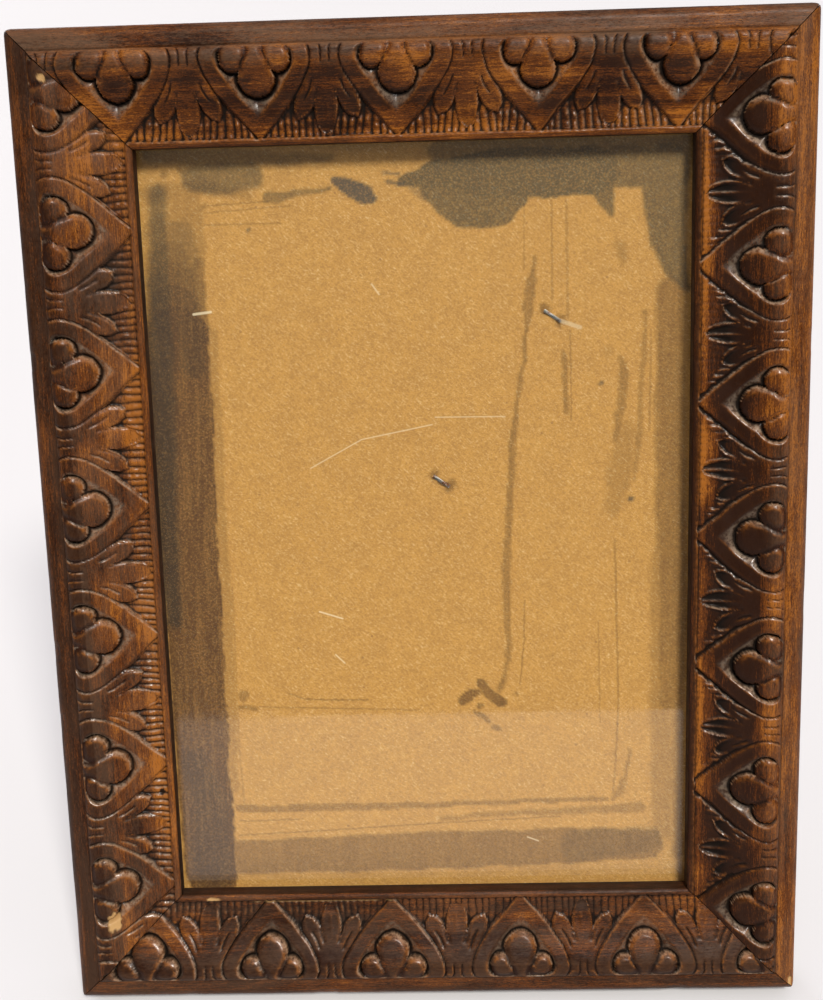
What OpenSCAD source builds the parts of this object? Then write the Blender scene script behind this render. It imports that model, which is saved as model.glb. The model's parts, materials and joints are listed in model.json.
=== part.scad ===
// Carved wooden picture frame, standing on its bottom edge and a diagonal back strut.
// Millimetres. The floor is z = 0, the face looks towards -Y and leans back.
// Flat pieces are drawn in the frame's own plane: x to the right, y up the frame from
// its bottom edge, z out of the back plane towards the face.

/* [Glass and board] */
// Width of the glass
glass_w = 127; // [100:1:200]
// Height of the glass
glass_h = 178; // [130:1:260]
// Thickness of the glass
glass_t = 2; // [1.5:0.5:3]
// Thickness of the hardboard back
board_t = 3; // [2:0.5:5]
// Air between glass and board
board_gap = 0.6; // [0.3:0.1:2]
// Play of glass and board at each side of the rebate
rebate_play = 0.5; // [0.2:0.1:1]

/* [Moulding] */
// Carved face, from the sight edge to the outer strip
face_w = 19.8; // [16:0.2:30]
// Plain strip round the outside
strip_w = 4.6; // [3:0.2:8]
// Width of the lip that holds the glass
lip_w = 6.3; // [4:0.1:8]
// Thickness of the lip at the sight edge
lip_t = 4.2; // [3:0.1:7]
// Flat fillet along the sight edge
fillet_w = 1.3; // [0.8:0.1:2.5]
// How late the face rises: 1 is a straight slope, more is a deeper hollow
face_bend = 2.2; // [1:0.1:3]
// Radius of the roll along the top of the face
roll_r = 2.1; // [1.5:0.1:3]
// Height of the roll's centre over the fillet
roll_lift = 1.7; // [1:0.1:2.5]
// Angle of the roll at which the face runs into it
roll_from = 145; // [130:5:160]
// Height of the strip over the fillet, beside the roll
strip_lift = 2.2; // [1:0.1:3]
// Fall of the strip to its outer edge
strip_fall = 1.5; // [0.5:0.1:3]
// Width of the strip's outer part, which falls
strip_bevel = 1.6; // [0.6:0.1:2.4]
// Open joint left in each mitre
mitre_gap = 0.12; // [0.05:0.01:0.4]

/* [Carving] */
// Length of one leaf along the top and bottom rails
leaf_across = 28.5; // [24:0.1:36]
// Length of one leaf up the stiles
leaf_up = 29; // [24:0.1:36]
// Depth of the carving at the roll
carve_depth = 1.1; // [0.6:0.1:1.4]
// Depth of the carving at the sight edge
carve_shallow = 0.5; // [0.3:0.1:0.8]
// Width of the cut lines
line_w = 0.5; // [0.3:0.1:0.8]
// Place of a leaf on the top rail, to the right of its middle
top_shift = -2.9; // [-14:0.1:14]
// Place of a leaf on the bottom rail, to the right of its middle
bottom_shift = -9.4; // [-14:0.1:14]
// Place of a leaf on the left stile, up from its middle
left_shift = 8.5; // [-14:0.1:14]
// Place of a leaf on the right stile, up from its middle
right_shift = -1; // [-14:0.1:14]

/* [Corner nails] */
// Length of a nail
nail_len = 24; // [16:1:34]
// Radius of a nail's shank
nail_r = 0.6; // [0.4:0.1:1]
// Radius of a nail's head
nail_head_r = 1.1; // [0.8:0.1:1.6]
// Distance of a nail from the corner's outside
nail_in = 8; // [6:0.5:10]
// Height of the upright nails over the back
nail_level_a = 7; // [6:0.5:8]
// Height of the level nails over the back
nail_level_b = 3.6; // [2.5:0.1:4.5]

/* [Turn buttons] */
// Reach of a button from its screw
button_reach = 11.5; // [9:0.5:13]
// Radius of a button round its screw
button_r = 4; // [3:0.5:5]
// Radius of a button's nose
button_nose_r = 2.8; // [2:0.2:4]
// Thickness of a button
button_t = 1.2; // [0.8:0.1:2]
// Distance from the rebate to the button screws
screw_in = 4.7; // [4.2:0.1:7]
// Radius of a button screw's shank
screw_r = 1.3; // [1:0.1:1.8]
// Radius of a button screw's head
screw_head_r = 2.7; // [2.2:0.1:3.4]
// Length of a button screw in the wood
screw_len = 7; // [5:0.5:9]

/* [Strut] */
// Lean of the frame from the upright
lean = 13; // [8:1:18]
// Angle of the open strut from the board
open_angle = 30; // [24:1:40]
// Hinge, to the right of the frame's centre
hinge_right = 0.8; // [-5:0.1:8]
// Hinge, above the frame's centre
hinge_up = 6.2; // [0:0.1:12]
// Width of the leg at the hinge
leg_top_w = 16; // [14:1:24]
// Width of the leg at the foot
leg_foot_w = 22; // [16:1:30]
// Thickness of the leg
leg_t = 3; // [2:0.5:5]
// Thickness of the hinge's steel
steel_t = 0.8; // [0.6:0.1:1.2]
// Width of the hinge
hinge_w = 14; // [12:0.5:20]
// Outer radius of the hinge's knuckles
knuckle_r = 1.5; // [1.3:0.1:2]
// Radius of the hinge pin
pin_r = 0.75; // [0.6:0.05:1]
// Distance from the upper tab to the end of the plate
plate_end = 5; // [4:0.5:10]
// Length of the leaf on the leg
leaf_len = 34; // [28:1:50]
// Distance from the hinge to the lower tab
tab_start = 6; // [5:0.5:8]
// Distance between the two tabs
tab_spacing = 43; // [30:1:44]
// Width of a tab
tab_w = 4.3; // [3:0.1:6]
// Radius of a rivet's shank
rivet_r = 1.2; // [0.8:0.1:1.6]

/* [Fits] */
// Round a nail, screw or rivet in its hole
driven_fit = 0.02; // [0.01:0.01:0.05]
// Round a pin or screw that something turns on
running_fit = 0.06; // [0.03:0.01:0.1]
// Between faces that slide past each other
slide_gap = 0.15; // [0.1:0.05:0.3]

/* [Hidden] */
$fn = 48;
over = 1;

rail_w = face_w + strip_w;
sight_w = glass_w + 2 * rebate_play - 2 * lip_w;
sight_h = glass_h + 2 * rebate_play - 2 * lip_w;
frame_w = sight_w + 2 * rail_w;
frame_h = sight_h + 2 * rail_w;
shoulder = board_t + board_gap + glass_t;
fillet_level = shoulder + lip_t;
roll_n = face_w - roll_r;
roll_level = fillet_level + roll_lift;
outer_level = fillet_level + strip_lift - strip_fall;
deep = roll_level + roll_r + over;
// Small steps beside the fillet and the strip, where the carving starts and ends.
quirk = 0.5;
face_start = fillet_w + 0.2;
face_end = roll_n + roll_r * cos(roll_from);
face_rise = roll_lift + roll_r * sin(roll_from);
roll_to = asin((strip_lift - roll_lift) / roll_r);

// Height of the carved face over the back, before it is carved, and of its ground.
function face_level(n) = fillet_level - quirk
    + (face_rise + quirk) * pow((n - face_start) / (face_end - face_start), face_bend);
function ground_level(n) = face_level(n) - carve_shallow
    - (carve_depth - carve_shallow) * (n - face_start) / (face_end - face_start);

// Points round the roll, depth below its surface, from one angle to another.
function roll_points(depth, from, to, steps) = [for (i = [0 : steps])
    let (a = from + (to - from) * i / steps)
    [roll_n + (roll_r - depth) * cos(a), roll_level + (roll_r - depth) * sin(a)]];

nail_head_t = 0.6;
nail_sink = 0.4;
screw_n = lip_w + screw_in;
screw_head_h = 1.5;
screw_dome_r = (pow(screw_head_r, 2) + pow(screw_head_h, 2)) / (2 * screw_head_h);
screw_slot = 0.8;

strut_turn = atan(sight_w / sight_h);
axis_back = steel_t + knuckle_r + 0.2;
plate_len = tab_start + tab_spacing + plate_end;
knuckle_w = (hinge_w - 2 * slide_gap) * 0.6;
knuckle_wall = knuckle_r - pin_r - driven_fit;
leg_start = knuckle_r + 1.5;
leg_shallow = steel_t / 2;
rivet_head_r = 2.2;
rivet_head_t = 0.6;
rivet_places = [10, leaf_len - 5];
tab_t = 0.7;
tab_out = 0.3;
hinge_x = hinge_right;
hinge_y = frame_h / 2 + hinge_up;

// Distance along the leg, from the hinge pin, at which a line of it meets the floor.
// across is the line's place over the leg's width, below its depth behind the pin.
function floor_reach(across, below) =
    ((hinge_y + below * cos(strut_turn) * sin(open_angle) - across * sin(strut_turn))
        * cos(lean) - (axis_back + below * cos(open_angle)) * sin(lean))
    / (cos(strut_turn) * cos(open_angle) * cos(lean) + sin(open_angle) * sin(lean));

// How far behind the bottom back edge that line meets the floor.
function floor_depth(across, below) =
    let (s = floor_reach(across, below),
        up = hinge_y - cos(strut_turn) * (s * cos(open_angle) - below * sin(open_angle))
            - across * sin(strut_turn),
        back = axis_back + s * sin(open_angle) + below * cos(open_angle))
    up * sin(lean) + back * cos(lean);

leg_len = floor_reach(0, leg_shallow);
// The foot is a point with a bevel each side, one for upright and one for level use.
side_lean = atan((frame_w / 2 + hinge_x - sin(strut_turn) * leg_len * cos(open_angle))
    / (axis_back + leg_len * sin(open_angle)));
side_slope = cos(strut_turn) * cos(side_lean)
    / (sin(strut_turn) * cos(open_angle) * cos(side_lean) + sin(open_angle) * sin(side_lean));
front_y = (strip_w + roll_r) * sin(lean) - roll_level * cos(lean) - roll_r;
back_y = floor_depth(0, leg_shallow + leg_t);
mid_y = (front_y + back_y) / 2;

// Stands a piece of the frame's plane on the floor, leaning back.
module stand() {
    translate([0, -mid_y, 0]) rotate([90 - lean, 0, 0]) children();
}

// x down the strut's diagonal from the hinge, y along the hinge pin.
module along_strut() {
    translate([hinge_x, hinge_y, 0]) rotate([0, 0, -90 - strut_turn]) children();
}

// The same, with the origin on the hinge pin and the leg swung open.
module on_leg() {
    along_strut() translate([0, 0, -axis_back]) rotate([0, open_angle, 0]) children();
}

// Section of the moulding: x outwards from the sight edge, y up from the back.
module profile() {
    ease = 0.3;
    steps = 6;
    polygon(concat(
        [[0, shoulder], [0, fillet_level - ease], [ease, fillet_level],
            [fillet_w, fillet_level]],
        [for (i = [0 : steps - 1]) let (n = face_start + i / steps * (face_end - face_start))
            [n, face_level(n)]],
        roll_points(0, roll_from, roll_to, 12),
        [[rail_w - strip_bevel, fillet_level + strip_lift],
            [rail_w - ease, outer_level], [rail_w, outer_level - ease],
            [rail_w, 0], [lip_w, 0], [lip_w, shoulder]]));
}

// Section of the room over the carved ground, as high as the cutters reach.
module carving_room() {
    steps = 3;
    polygon(concat(
        [[face_start, deep], [face_start, ground_level(face_start)]],
        [for (i = [1 : steps]) let (n = face_start + i / steps * (face_end - face_start))
            [n, ground_level(n)]],
        roll_points(carve_depth, 165, 25, 4),
        [[face_w - quirk, fillet_level + strip_lift], [face_w - quirk, deep]]));
}

// The carver's grid: a leaf is 29 steps long, and the face is 20 steps from the
// outer strip down to the sight edge. x runs along the leaf from its middle.
// The fan's tongues part from each other 9.4 steps down.
leaf_steps = 29;
face_steps = 20;
parting = 9.4;
function at(leaf, x, down) = [x * leaf / leaf_steps, face_w * (1 - down / face_steps)];

// Points along a curve that starts at a, ends at d, and is drawn towards b and c.
function curve(a, b, c, d, steps = 8) = [for (i = [0 : steps]) let (t = i / steps)
    pow(1 - t, 3) * a + 3 * t * pow(1 - t, 2) * b + 3 * t * t * (1 - t) * c + t * t * t * d];

// Outer and inner edge of the band round a leaf, on its right (side 1) or left (-1).
function band_outside(leaf, side) = curve(at(leaf, 10.2 * side, 0.3),
    at(leaf, 15.3 * side, 4.6), at(leaf, 5.9 * side, 11.9), at(leaf, 0.6 * side, 18.8));
function band_inside(leaf, side) = curve(at(leaf, 5.8 * side, 0.5),
    at(leaf, 12.8 * side, 2.2), at(leaf, 1.6 * side, 10.4), at(leaf, 0, 15));
function backwards(points) = [for (i = [len(points) - 1 : -1 : 0]) points[i]];
function moved(points, x) = [for (p = points) p + [x, 0]];

// The trefoil that stands in the middle of a leaf: a bulb on a neck, and a lobe each
// side that runs up into the roll.
module trefoil(leaf) {
    step = face_w / face_steps;
    translate(at(leaf, 0, 6.7)) circle(r = 3.7 * step);
    for (side = [-1, 1]) {
        translate(at(leaf, 4.8 * side, 3.3)) circle(r = 2.5 * step);
        polygon([for (p = [[0, 6], [0, -1], [5.8, -1], [7.2, 2.6], [4.8, 3.3]])
            at(leaf, p[0] * side, p[1])]);
    }
}

// The cut line that parts a lobe from the neck.
module neck_line(leaf, side) {
    polygon([for (p = [[1.6, 0], [1.6, 1.8], [2.8, 4.6], [3.3, 4.4], [2.1, 1.6], [2.1, 0]])
        at(leaf, p[0] * side, p[1])]);
}

// What is cut away round the trefoil, inside the band.
module hollow(leaf) {
    difference() {
        linear_extrude(deep)
            polygon(concat(band_inside(leaf, -1), backwards(band_inside(leaf, 1))));
        translate([0, 0, -over]) linear_extrude(deep + 2 * over) trefoil(leaf);
    }
}

// What is cut away below the three tongues of the fan, on the right of a leaf.
module fan_ground(leaf) {
    rim = [for (p = band_outside(leaf, 1)) if (p[1] < at(leaf, 0, parting)[1]) p];
    half = [[0, 17.6], [1.5, 15.8], [2.1, 13.4], [1.9, parting], [3.2, 11.6], [4.4, 13.3],
        [5.7, 14.1], [6.8, 13.3], [6.9, 11.6]];
    tongues = concat(
        [for (i = [len(half) - 1 : -1 : 1]) at(leaf, leaf_steps / 2 - half[i][0], half[i][1])],
        [for (p = half) at(leaf, leaf_steps / 2 + p[0], p[1])]);
    linear_extrude(deep) polygon(concat(backwards(rim), tongues,
        [for (p = rim) [leaf - p[0], p[1]]]));
}

// The cut line outside the band, the one beside the neck, and one of the two short
// lines across the roll.
module cut_lines(leaf) {
    for (side = [-1, 1]) linear_extrude(deep) {
        edge = band_outside(leaf, side);
        polygon(concat(edge, backwards(moved(edge, line_w * side))));
        neck_line(leaf, side);
        translate(at(leaf, (leaf_steps / 2 - 0.9) * side, 4.2) - [line_w / 2, 0])
            square([line_w, face_w * 4 / face_steps]);
    }
}

// All that is carved out of a stick. One leaf's middle is at shift.
module carving(sight, leaf, shift) {
    length = sight + 2 * rail_w;
    reach = (sight / 2 + face_w) / leaf + 1;
    intersection() {
        rotate([90, 0, 90]) linear_extrude(length, center = true) carving_room();
        for (i = [-ceil(reach) : ceil(reach)]) let (x = shift + i * leaf)
            if (abs(x) < length / 2 + leaf / 2) translate([x, 0, 0]) {
                hollow(leaf);
                fan_ground(leaf);
                cut_lines(leaf);
            }
    }
}

// One mitred stick, its sight edge along x, its width towards +y.
module stick(sight) {
    half = sight / 2 - mitre_gap;
    length = sight + 2 * rail_w + 2 * over;
    intersection() {
        rotate([90, 0, 90]) linear_extrude(length, center = true) profile();
        linear_extrude(deep)
            polygon([[over - half, -over], [half - over, -over],
                [half + rail_w + over, rail_w + over],
                [-half - rail_w - over, rail_w + over]]);
    }
}

// Places a stick on one side of the frame: 0 top, 1 left, 2 bottom, 3 right.
module on_side(side) {
    reach = side % 2 == 0 ? sight_h / 2 : sight_w / 2;
    translate([0, frame_h / 2, 0]) rotate([0, 0, 90 * side]) translate([0, reach, 0])
        children();
}

// The nail places: each corner has one nail down and one across.
module at_nails() {
    for (sx = [-1, 1], sy = [-1, 1]) {
        translate([sx * (frame_w / 2 - nail_in), frame_h / 2 + sy * frame_h / 2, nail_level_a])
            rotate([90 * sy, 0, 0]) children();
        translate([sx * frame_w / 2, frame_h / 2 + sy * (frame_h / 2 - nail_in), nail_level_b])
            rotate([0, -90 * sx, 0]) children();
    }
}

// A nail driven along +z from the wood's face at z = 0, or its hole.
module nail(fit) {
    translate([0, 0, nail_sink]) {
        cylinder(h = nail_head_t, r = nail_head_r + fit);
        cylinder(h = nail_len - nail_sink, r = nail_r + fit);
    }
    if (fit > 0) translate([0, 0, -over])
        cylinder(h = over + nail_sink + nail_head_t, r = nail_head_r + fit);
}

module rail(side, sight, leaf, shift) {
    difference() {
        on_side(side) stick(sight);
        on_side(side) carving(sight, leaf, shift);
        at_nails() nail(driven_fit);
        on_side(side) translate([0, screw_n, -over])
            cylinder(h = over + screw_len + driven_fit, r = screw_r + driven_fit);
    }
}

module top_rail() color("saddlebrown") stand() rail(0, sight_w, leaf_across, top_shift);
module left_stile() color("sienna") stand() rail(1, sight_h, leaf_up, left_shift);
module bottom_rail() color("saddlebrown") stand() rail(2, sight_w, leaf_across, -bottom_shift);
module right_stile() color("sienna") stand() rail(3, sight_h, leaf_up, -right_shift);

module corner_nails() color("dimgray") stand() at_nails() nail(0);

module glass_pane() {
    color("lightcyan", 0.4) stand()
        translate([-glass_w / 2, (frame_h - glass_h) / 2, board_t + board_gap])
            cube([glass_w, glass_h, glass_t]);
}

// The two tabs of the strut's plate, or the slits that they pass through.
module tabs(fit) {
    for (s = [tab_start, tab_start + tab_spacing])
        translate([-s - tab_t / 2 - fit, -tab_w / 2 - fit, -steel_t / 2])
            cube([tab_t + 2 * fit, tab_w + 2 * fit,
                board_t + steel_t / 2 + tab_out + (fit > 0 ? over : 0)]);
}

module backboard() {
    color("tan") stand() difference() {
        translate([-glass_w / 2, (frame_h - glass_h) / 2, 0])
            cube([glass_w, glass_h, board_t]);
        along_strut() tabs(driven_fit);
    }
}

// A flat button, wide and round at its screw, with a narrower rounded nose.
module turn_button(side) {
    span = button_reach - button_nose_r;
    on_side(side) translate([0, screw_n, -slide_gap - button_t]) rotate([0, 0, -90])
        difference() {
            linear_extrude(button_t) {
                circle(r = button_r);
                translate([span, 0]) circle(r = button_nose_r);
                translate([0, -button_nose_r]) square([span, 2 * button_nose_r]);
            }
            translate([0, 0, -over])
                cylinder(h = button_t + 2 * over, r = screw_r + running_fit);
        }
}

module button_top() color("goldenrod") stand() turn_button(0);
module button_left() color("goldenrod") stand() turn_button(1);
module button_bottom() color("goldenrod") stand() turn_button(2);
module button_right() color("goldenrod") stand() turn_button(3);

// Round-headed screws that the buttons turn on.
module button_screws() {
    under = 2 * slide_gap + button_t;
    color("darkgoldenrod") stand() for (side = [0 : 3])
        on_side(side) translate([0, screw_n, 0]) difference() {
            translate([0, 0, -under]) {
                cylinder(h = under + screw_len, r = screw_r);
                intersection() {
                    translate([0, 0, -screw_head_h])
                        cylinder(h = screw_head_h, r = screw_head_r);
                    translate([0, 0, screw_dome_r - screw_head_h]) sphere(r = screw_dome_r);
                }
            }
            rotate([0, 0, 30 + 35 * side])
                translate([-screw_head_r, -screw_slot / 2, -under - screw_head_h - over])
                    cube([2 * screw_head_r, screw_slot, over + screw_slot]);
        }
}

// A ring round the hinge pin.
module knuckle(width, fit) {
    rotate([90, 0, 0]) difference() {
        cylinder(h = width, r = knuckle_r, center = true);
        cylinder(h = width + over, r = pin_r + fit, center = true);
    }
}

// The steel plate that stays on the board, with the hinge's two outer knuckles.
module strut_plate() {
    outer = (hinge_w - knuckle_w) / 2 - slide_gap;
    color("silver") stand() along_strut() {
        translate([0, 0, -steel_t]) linear_extrude(steel_t) {
            translate([-plate_len + hinge_w / 2, -hinge_w / 2])
                square([plate_len - hinge_w / 2, hinge_w]);
            translate([-plate_len + hinge_w / 2, 0]) circle(d = hinge_w);
            for (s = [-1, 1]) translate([-over, s * (hinge_w - outer) / 2 - outer / 2])
                square([knuckle_r + over, outer]);
        }
        for (s = [-1, 1]) translate([0, s * (hinge_w - outer) / 2, -axis_back]) {
            knuckle(outer, driven_fit);
            translate([knuckle_r - knuckle_wall, -outer / 2, 0])
                cube([knuckle_wall, outer, axis_back - steel_t / 2]);
        }
        tabs(0);
    }
}

module hinge_pin() {
    color("gray") stand() along_strut() translate([0, 0, -axis_back]) rotate([90, 0, 0])
        cylinder(h = hinge_w + 1, r = pin_r, center = true);
}

// Places at the rivets, on the leg's outer face, where z = grip is the leaf's face.
grip = leg_t + steel_t;
module at_rivets() {
    for (s = rivet_places) translate([s, 0, -leg_shallow - leg_t]) children();
}

module rivet_hole() {
    translate([0, 0, -over]) cylinder(h = grip + 2 * over, r = rivet_r + driven_fit);
}

// The steel leaf that swings with the leg. Its heel comes up against the plate.
module strut_leaf() {
    leaf_w = knuckle_w + 2;
    heel = (axis_back - steel_t - slide_gap - steel_t / 2 * cos(open_angle)) / sin(open_angle);
    color("silver") stand() on_leg() difference() {
        union() {
            knuckle(knuckle_w, 0);
            translate([-heel, -knuckle_w / 2, -steel_t / 2])
                cube([heel + leg_start, knuckle_w, steel_t]);
            translate([leg_start - 0.5, 0, -steel_t / 2]) linear_extrude(steel_t) {
                translate([0, -leaf_w / 2]) square([leaf_len - leg_start + 0.5 - leaf_w / 2, leaf_w]);
                translate([leaf_len - leg_start + 0.5 - leaf_w / 2, 0]) circle(d = leaf_w);
            }
        }
        rotate([90, 0, 0])
            cylinder(h = hinge_w, r = pin_r + running_fit, center = true);
        at_rivets() rivet_hole();
    }
}

module strut_rivets() {
    color("gainsboro") stand() on_leg() at_rivets() {
        cylinder(h = grip, r = rivet_r);
        translate([0, 0, -rivet_head_t]) cylinder(h = rivet_head_t, r = rivet_head_r);
        translate([0, 0, grip]) cylinder(h = rivet_head_t, r = rivet_head_r);
    }
}

// The hardboard leg, cut to the floor at its foot.
module strut_leg() {
    corner = 3;
    bevel = leg_foot_w / 2 * side_slope;
    spare = leg_foot_w;
    color("peru") stand() difference() {
        on_leg() difference() {
            translate([0, 0, -leg_shallow - leg_t]) linear_extrude(leg_t) {
                polygon([[leg_start + corner, -leg_top_w / 2],
                    [leg_len - bevel, -leg_foot_w / 2], [leg_len, 0], [leg_len + spare, 0],
                    [leg_len + spare, leg_foot_w / 2], [leg_start + corner, leg_top_w / 2]]);
                translate([leg_start, corner - leg_top_w / 2])
                    square([corner + over, leg_top_w - 2 * corner]);
                for (s = [-1, 1]) translate([leg_start + corner, s * (leg_top_w / 2 - corner)])
                    circle(r = corner);
            }
            at_rivets() rivet_hole();
        }
        rotate([lean, 0, 0]) translate([-frame_w, -spare * 2, -frame_h])
            cube([2 * frame_w, spare * 2, 2 * frame_h]);
    }
}

top_rail();
bottom_rail();
left_stile();
right_stile();
corner_nails();
glass_pane();
backboard();
button_top();
button_bottom();
button_left();
button_right();
button_screws();
strut_plate();
hinge_pin();
strut_leaf();
strut_rivets();
strut_leg();
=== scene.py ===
"""A small carved walnut picture frame: four mitred sticks, glass, a fibreboard back held by
turn buttons, and a diagonal strut. Sizes are in millimetres, except where a name ends in _M
or a docstring says metres."""

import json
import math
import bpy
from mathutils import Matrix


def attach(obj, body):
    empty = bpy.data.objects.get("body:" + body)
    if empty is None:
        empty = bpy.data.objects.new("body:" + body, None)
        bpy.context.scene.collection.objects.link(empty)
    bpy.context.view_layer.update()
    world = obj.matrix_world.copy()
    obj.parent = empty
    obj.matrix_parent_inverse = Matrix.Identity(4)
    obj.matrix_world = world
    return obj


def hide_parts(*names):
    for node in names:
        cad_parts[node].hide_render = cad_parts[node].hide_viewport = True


bl_info = {
    "name": "Carved picture frame",
    "version": (1, 0, 0),
    "blender": (4, 5, 0),
    "location": "3D View > Sidebar > Carved frame",
    "description": "Makes a carved, mitred picture frame with its glass, board and strut",
    "category": "Object",
}

from types import SimpleNamespace

import bmesh
import bpy
import numpy as np
from bpy.props import FloatProperty, FloatVectorProperty, PointerProperty
from mathutils import Matrix, Vector

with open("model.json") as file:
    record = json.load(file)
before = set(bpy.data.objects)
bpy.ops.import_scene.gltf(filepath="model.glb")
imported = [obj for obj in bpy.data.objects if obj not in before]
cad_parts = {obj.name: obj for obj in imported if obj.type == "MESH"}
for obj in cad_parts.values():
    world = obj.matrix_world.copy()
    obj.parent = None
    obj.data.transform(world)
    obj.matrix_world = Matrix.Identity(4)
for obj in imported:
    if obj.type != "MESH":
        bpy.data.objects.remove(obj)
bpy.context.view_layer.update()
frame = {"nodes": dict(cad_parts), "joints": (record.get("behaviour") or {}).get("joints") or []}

MM = 0.001


# Where things are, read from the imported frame


def node_points(node):
    """The corners of a node's mesh, in metres, in the world."""
    mesh = frame["nodes"][node].data
    points = np.empty(len(mesh.vertices) * 3)
    mesh.vertices.foreach_get("co", points)
    return points.reshape(-1, 3)


def moved(points, matrix):
    """An array of points, moved by a matrix."""
    return points @ np.array(matrix.to_3x3()).T + np.array(matrix.translation)


def frame_plane():
    """The frame's own plane: x right, y up from its bottom edge, z out of its back."""
    turn = next(j for j in frame["joints"] if j["name"] == "button_top_turn")
    out = -Vector(turn["axis"]).normalized()
    right = Vector((1, 0, 0))
    up = out.cross(right)
    foot = node_points("bottom_rail")
    foot = foot[foot[:, 2] < foot[:, 2].min() + 1e-6].mean(axis=0)
    plane = Matrix((right, up, out)).transposed().to_4x4()
    plane.translation = Vector((0, foot[1], foot[2]))
    return plane


PLANE = frame_plane()
TO_PLANE = PLANE.inverted()


def plane_box(node):
    """Lowest and highest corner of a node in the frame's plane, in millimetres."""
    points = moved(node_points(node), TO_PLANE) / MM
    return points.min(axis=0), points.max(axis=0)


LEFT_LOW, LEFT_HIGH = plane_box("left_stile")
TOP_HIGH = plane_box("top_rail")[1]
FRAME_W = -2 * LEFT_LOW[0]
FRAME_H = TOP_HIGH[1]
RAIL_W = LEFT_HIGH[0] - LEFT_LOW[0]
CREST = TOP_HIGH[2]
SIGHT_W = FRAME_W - 2 * RAIL_W
SIGHT_H = FRAME_H - 2 * RAIL_W
BOARD_LOW, BOARD_HIGH = plane_box("backboard")

# The carved leaves were cut along the moulding before it was mitred, so each stick has
# its own places for them: from its middle, anticlockwise round the frame is negative.
LEAF = 28.5
STICKS = {
    "top_rail": (0, (-59.9, -31.2, -2.9, 25.9, 54.0)),
    "left_stile": (1, (-80.0, -50.5, -20.7, 8.5, 37.9, 66.8, 94.5)),
    "bottom_rail": (2, (-76.0, -47.9, -19.9, 9.4, 37.3, 65.9)),
    "right_stile": (3, (-86.0, -56.5, -27.8, 1.0, 30.0, 58.5, 87.8)),
}


# Each stick's own finish: how dark the stain is on its face, roll, strip and ground, how
# boldly the ground is reeded, how far the tongues are sunk into it, how much waxing, with a
# painted sheen, there is on the roll and on the face, how much grime and painted shade darken
# its cuts and how much pale dust they hold, how far its cut slopes that face the light are
# painted pale as a highlight, and how far up the roll its lobes close, in millimetres.
TONES = {
    "top_rail": SimpleNamespace(
        face=0.1, roll=0.1, strip=0.3, ground=-0.5, reeds=1.0, sunk=0.3, wax_and_sheen=0.9, face_wax_and_sheen=0.1,
        dirt_and_shade=1.0, dust=0.4, rubbed=0.7, close=4.6),
    "left_stile": SimpleNamespace(
        face=0.15, roll=1.15, strip=0.9, ground=-1.1, reeds=1.0, sunk=0.0, wax_and_sheen=0.25, face_wax_and_sheen=0.4,
        dirt_and_shade=0.55, dust=0.6, rubbed=0.9, close=3.15),
    "bottom_rail": SimpleNamespace(
        face=0.75, roll=1.6, strip=0.6, ground=-0.1, reeds=0.6, sunk=0.25, wax_and_sheen=0.35, face_wax_and_sheen=0.35,
        dirt_and_shade=0.85, dust=0.3, rubbed=0.8, close=2.8),
    "right_stile": SimpleNamespace(
        face=1.3, roll=0.1, strip=-0.4, ground=-2.0, reeds=0.12, sunk=1.0, wax_and_sheen=0.5, face_wax_and_sheen=0.05,
        dirt_and_shade=0.9, dust=0.45, rubbed=1.0, close=2.95)}

# Where the light comes from, in the frame's plane. Edges and cut slopes that face it get a painted
# highlight.
LIGHT = (0.45, 0.89)

# Flaws on a stick: the place of each along and across, half its size both ways, and how
# far it is a pale chip (1) or a dark spot (0).
FLAWS = {
    "top_rail": (),
    "left_stile": (
        (-87.8, 15.1, 2.2, 1.5, 1), (97.6, 16.7, 0.7, 0.9, 1), (-57.8, 2.9, 0.9, 0.7, 0)),
    "bottom_rail": ((50.4, 1.0, 1.6, 0.5, 1), (24.6, 1.9, 14, 0.2, 0.6)),
    "right_stile": ((105.7, 23.2, 1.6, 0.5, 1),),
}


def size(name, description, default, lowest, highest):
    """A length that a user can change, given in millimetres."""
    return FloatProperty(
        name=name, description=description, default=default * MM, min=lowest * MM,
        max=highest * MM, precision=5, unit="LENGTH", subtype="DISTANCE")


class CarvedFrameSizes(bpy.types.PropertyGroup):
    """Sizes of the moulding and its carving."""

    face: size("Carved face", "From the sight edge to the outer strip", 19.8, 16, 24)
    fillet: size("Fillet", "Flat edge beside the glass", 1.5, 0.8, 2.5)
    lip: size("Lip", "Width of the lip over the glass", 6.3, 4, 8)
    shoulder: size("Rebate depth", "From the back to the lip", 5.6, 4, 8)
    lip_depth: size("Lip thickness", "Thickness at the sight edge", 4.2, 3, 7)
    crest: size("Crest", "Height of the roll over the fillet", 3.8, 2.5, 6)
    crest_at: size("Crest place", "From the sight edge to the top of the roll", 17.3, 14, 20)
    strip_lift: size("Strip height", "Height of the strip over the fillet", 2.2, 1, 3)
    strip_fall: size("Strip fall", "Fall to its outer edge", 1.5, 0.5, 3)
    corner: size("Corner", "Radius of the frame's worn outer corners", 1.8, 0, 4)
    mitre: size("Mitre gap", "Open joint on each side", 0.12, 0.05, 0.4)
    hollow: size("Hollow depth", "Deepest cut beside a trefoil", 1.75, 0.5, 2.2)
    line: size("Cut line", "Half the width of a cut line", 0.3, 0.15, 0.5)
    reed: size("Reed spacing", "Distance between the reeds", 1.5, 1, 2.5)
    mesh_step: size("Mesh step", "Distance between mesh points along a stick", 0.26, 0.15, 1)
    board_step: size("Board step", "Distance between mesh points on the board", 0.48, 0.4, 2)


def in_mm(group):
    """The lengths of a group in millimetres."""
    return SimpleNamespace(**{name: getattr(group, name) / MM for name in group.__annotations__})


def shade(name, description, colour):
    """A colour that a user can change."""
    return FloatVectorProperty(
        name=name, description=description, default=colour, size=3, subtype="COLOR", min=0, max=1)


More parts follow.
